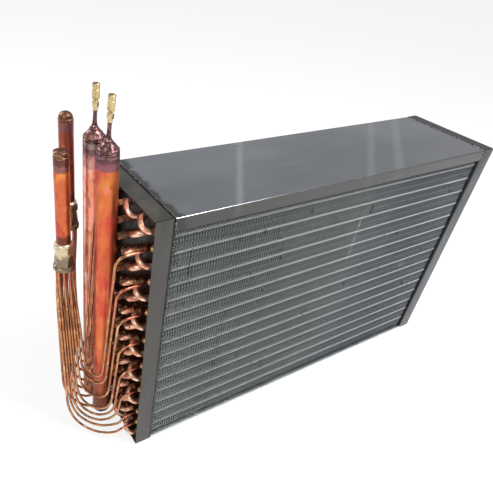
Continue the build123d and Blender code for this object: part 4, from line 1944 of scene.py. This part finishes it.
    def solder(self) -> bpy.types.Object:
        """Lumps of solder where the leads leave the distributor, and plugs at the tube mouths.

        Returns:
            The solder's piece.
        """
        form, at = Form(), self.layout
        for number, band in enumerate(at.bands):
            leaves = self.strand(number)
            form.blob(leaves + Vector((0, 0, 0.6)), Vector((4.4, 4.4, 3.4)), number, 0.3)
            y, z = at.lead_end(self.side, band)
            radius = at.tube_dia / 2
            path = [Vector((at.mouth + along, y, z)) for along in (1.0, 0.2, -0.8, -2.6, -5.0, -6.5)]
            form.tube(path, [radius + 0.1, radius + 0.5, radius - 0.3, radius - 2.2,
                             radius - 3.4, self.dia / 2 - 0.1], 16)
        return form.piece(f"lead_solder_{self.side.value}", BRAZE_FILLET, "return_bend")

    def build(self) -> list[bpy.types.Object]:
        """Make every lead, and the solder at both ends."""
        return [*(self.lead(number) for number in range(self.count)), self.solder()]


# -------------------------------------------------------------- the studio


@dataclass
class Studio:
    """Floor, lights and camera."""

    yaw: float = 34.54           # the camera's bearing from +Y towards +X, in degrees
    pitch: float = 35.23         # how far it looks down
    roll: float = 7.01
    stand: Point = (-880.6, -738.2, 1063.1)
    lens: float = 36.44
    shift: tuple[float, float] = (0.1454, 0.0148)
    below: str = "#c2c2c4"       # surroundings at the horizon
    above: str = "#f2f4f8"       # and overhead
    glow: float = 0.75           # how brightly they shine
    floor_half: float = 12.0     # metres from the floor's middle to its edge
    floor_gap: float = 0.0005    # metres that it lies under the coil
    sensor: float = 36.0         # width of the camera's sensor, in mm
    reach: float = 60.0          # metres that the camera sees
    lamps: tuple[tuple[str, Point, Point, float, float], ...] = (
        # name, place, aim (both in metres), side (metres), power (watts)
        ("key_light", (1.1, -1.5, 3.5), (0, 0, 0.3), 1.3, 190),
        ("side_light", (-3.0, -1.4, 2.2), (-0.4, 0, 0.4), 1.2, 40),
        ("back_light", (-2.0, 2.6, 2.6), (-0.2, 0, 0.5), 1.6, 60),
    )

    def floor(self) -> None:
        """A wide sheet of paper under the coil."""
        mesh = bpy.data.meshes.new("studio_floor")
        half, z = self.floor_half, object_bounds()[0].z - self.floor_gap
        mesh.from_pydata([(-half, -half, z), (half, -half, z), (half, half, z), (-half, half, z)],
                         [], [(0, 1, 2, 3)])
        mesh.materials.append(StudioFloor().material())
        floor = bpy.data.objects.new("studio_floor", mesh)
        bpy.context.scene.collection.objects.link(floor)
        floor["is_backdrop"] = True

    def world(self) -> None:
        """Soft gray surroundings, paler above, and plain white to the camera."""
        world = bpy.data.worlds.new("studio")
        bpy.context.scene.world = world
        recipe = Recipe(world)
        place = recipe.add("TexCoord").outputs["Generated"]
        height = recipe.add("SeparateXYZ", {"Vector": place}).outputs["Z"]
        gray = recipe.add("MixRGB", {
            "Fac": recipe.add("MapRange", {"Value": height, "From Min": 0.5}).outputs["Result"],
            "Color1": linear(self.below), "Color2": linear(self.above)}).outputs["Color"]
        soft = recipe.add("Background", {"Color": gray, "Strength": self.glow})
        white = recipe.add("Background", {"Color": linear(WHITE)})
        rays = recipe.add("LightPath").outputs["Is Camera Ray"]
        mixed = recipe.add("MixShader", {0: rays, 1: soft.outputs["Background"],
                                         2: white.outputs["Background"]}).outputs["Shader"]
        recipe.add("OutputWorld", {"Surface": mixed})

    def lamp(self, name: str, place: Point, aim: Point, size: float, power: float) -> None:
        """A square soft light.

        Args:
            name: the lamp's name.
            place: where it hangs, in metres.
            aim: what it points at, in metres.
            size: side of the square, in metres.
            power: in watts.
        """
        light = bpy.data.lights.new(name, "AREA")
        light.shape, light.size, light.energy = "SQUARE", size, power
        lamp = bpy.data.objects.new(name, light)
        lamp.location = place
        way = Vector(aim) - Vector(place)
        lamp.rotation_euler = way.to_track_quat("-Z", "Y").to_euler()
        bpy.context.scene.collection.objects.link(lamp)

    def lights(self) -> None:
        """A high key from the front, a low fill from the left and a broad light behind."""
        for lamp in self.lamps:
            self.lamp(*lamp)

    def camera(self) -> None:
        """The camera at a person's height, off the left front corner."""
        data = bpy.data.cameras.new("camera")
        data.sensor_width = self.sensor
        data.lens = self.lens
        data.shift_x, data.shift_y = self.shift
        data.clip_end = self.reach
        camera = bpy.data.objects.new("camera", data)
        yaw, pitch, roll = (radians(angle) for angle in (self.yaw, self.pitch, self.roll))
        ahead = Vector((sin(yaw) * cos(pitch), cos(yaw) * cos(pitch), -sin(pitch)))
        right = Vector((cos(yaw), -sin(yaw), 0))
        above = right.cross(ahead)
        across = cos(roll) * right + sin(roll) * above
        above = -sin(roll) * right + cos(roll) * above
        turned = Matrix((across, above, -ahead)).transposed().to_4x4()
        camera.matrix_world = Matrix.Translation(Vector(self.stand) * MM) @ turned
        bpy.context.scene.collection.objects.link(camera)
        bpy.context.scene.camera = camera

    def build(self) -> None:
        """Set the whole studio up."""
        self.camera()
        self.floor()
        self.world()
        self.lights()
        bpy.context.scene.view_settings.view_transform = "Standard"


def paint(node: str, finish: Finish) -> None:
    """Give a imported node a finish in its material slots.

    Args:
        node: the node's name.
        finish: what it is made of.
    """
    piece = bpy.data.objects[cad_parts[node].name]
    if not piece.material_slots:
        piece.data.materials.append(None)
    for place in piece.material_slots:
        place.material = finish.material()


def main() -> None:
    """Build the coil part by part, then the studio round it."""
    logging.basicConfig(level=logging.INFO, format="%(name)s: %(message)s")
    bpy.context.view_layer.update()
    layout = Layout.packed()
    casing = Casing(layout)
    casing.dress()
    parts = [casing, FinBank(layout)]
    for side in Side:
        tilt = (3.4, 55.0) if side is Side.FRONT else (1.8, 55.0)
        parts += [CoreTubes(layout, side), Header(layout, side, lean=tilt[0], lean_way=tilt[1]),
                  Distributor(layout, side), Leads(layout, side)]
    for part in parts:
        for piece in part.build():
            LOG.info("%s: %d faces", piece.name, len(piece.data.polygons))
    Studio().build()


if __name__ == "__main__":
    main()
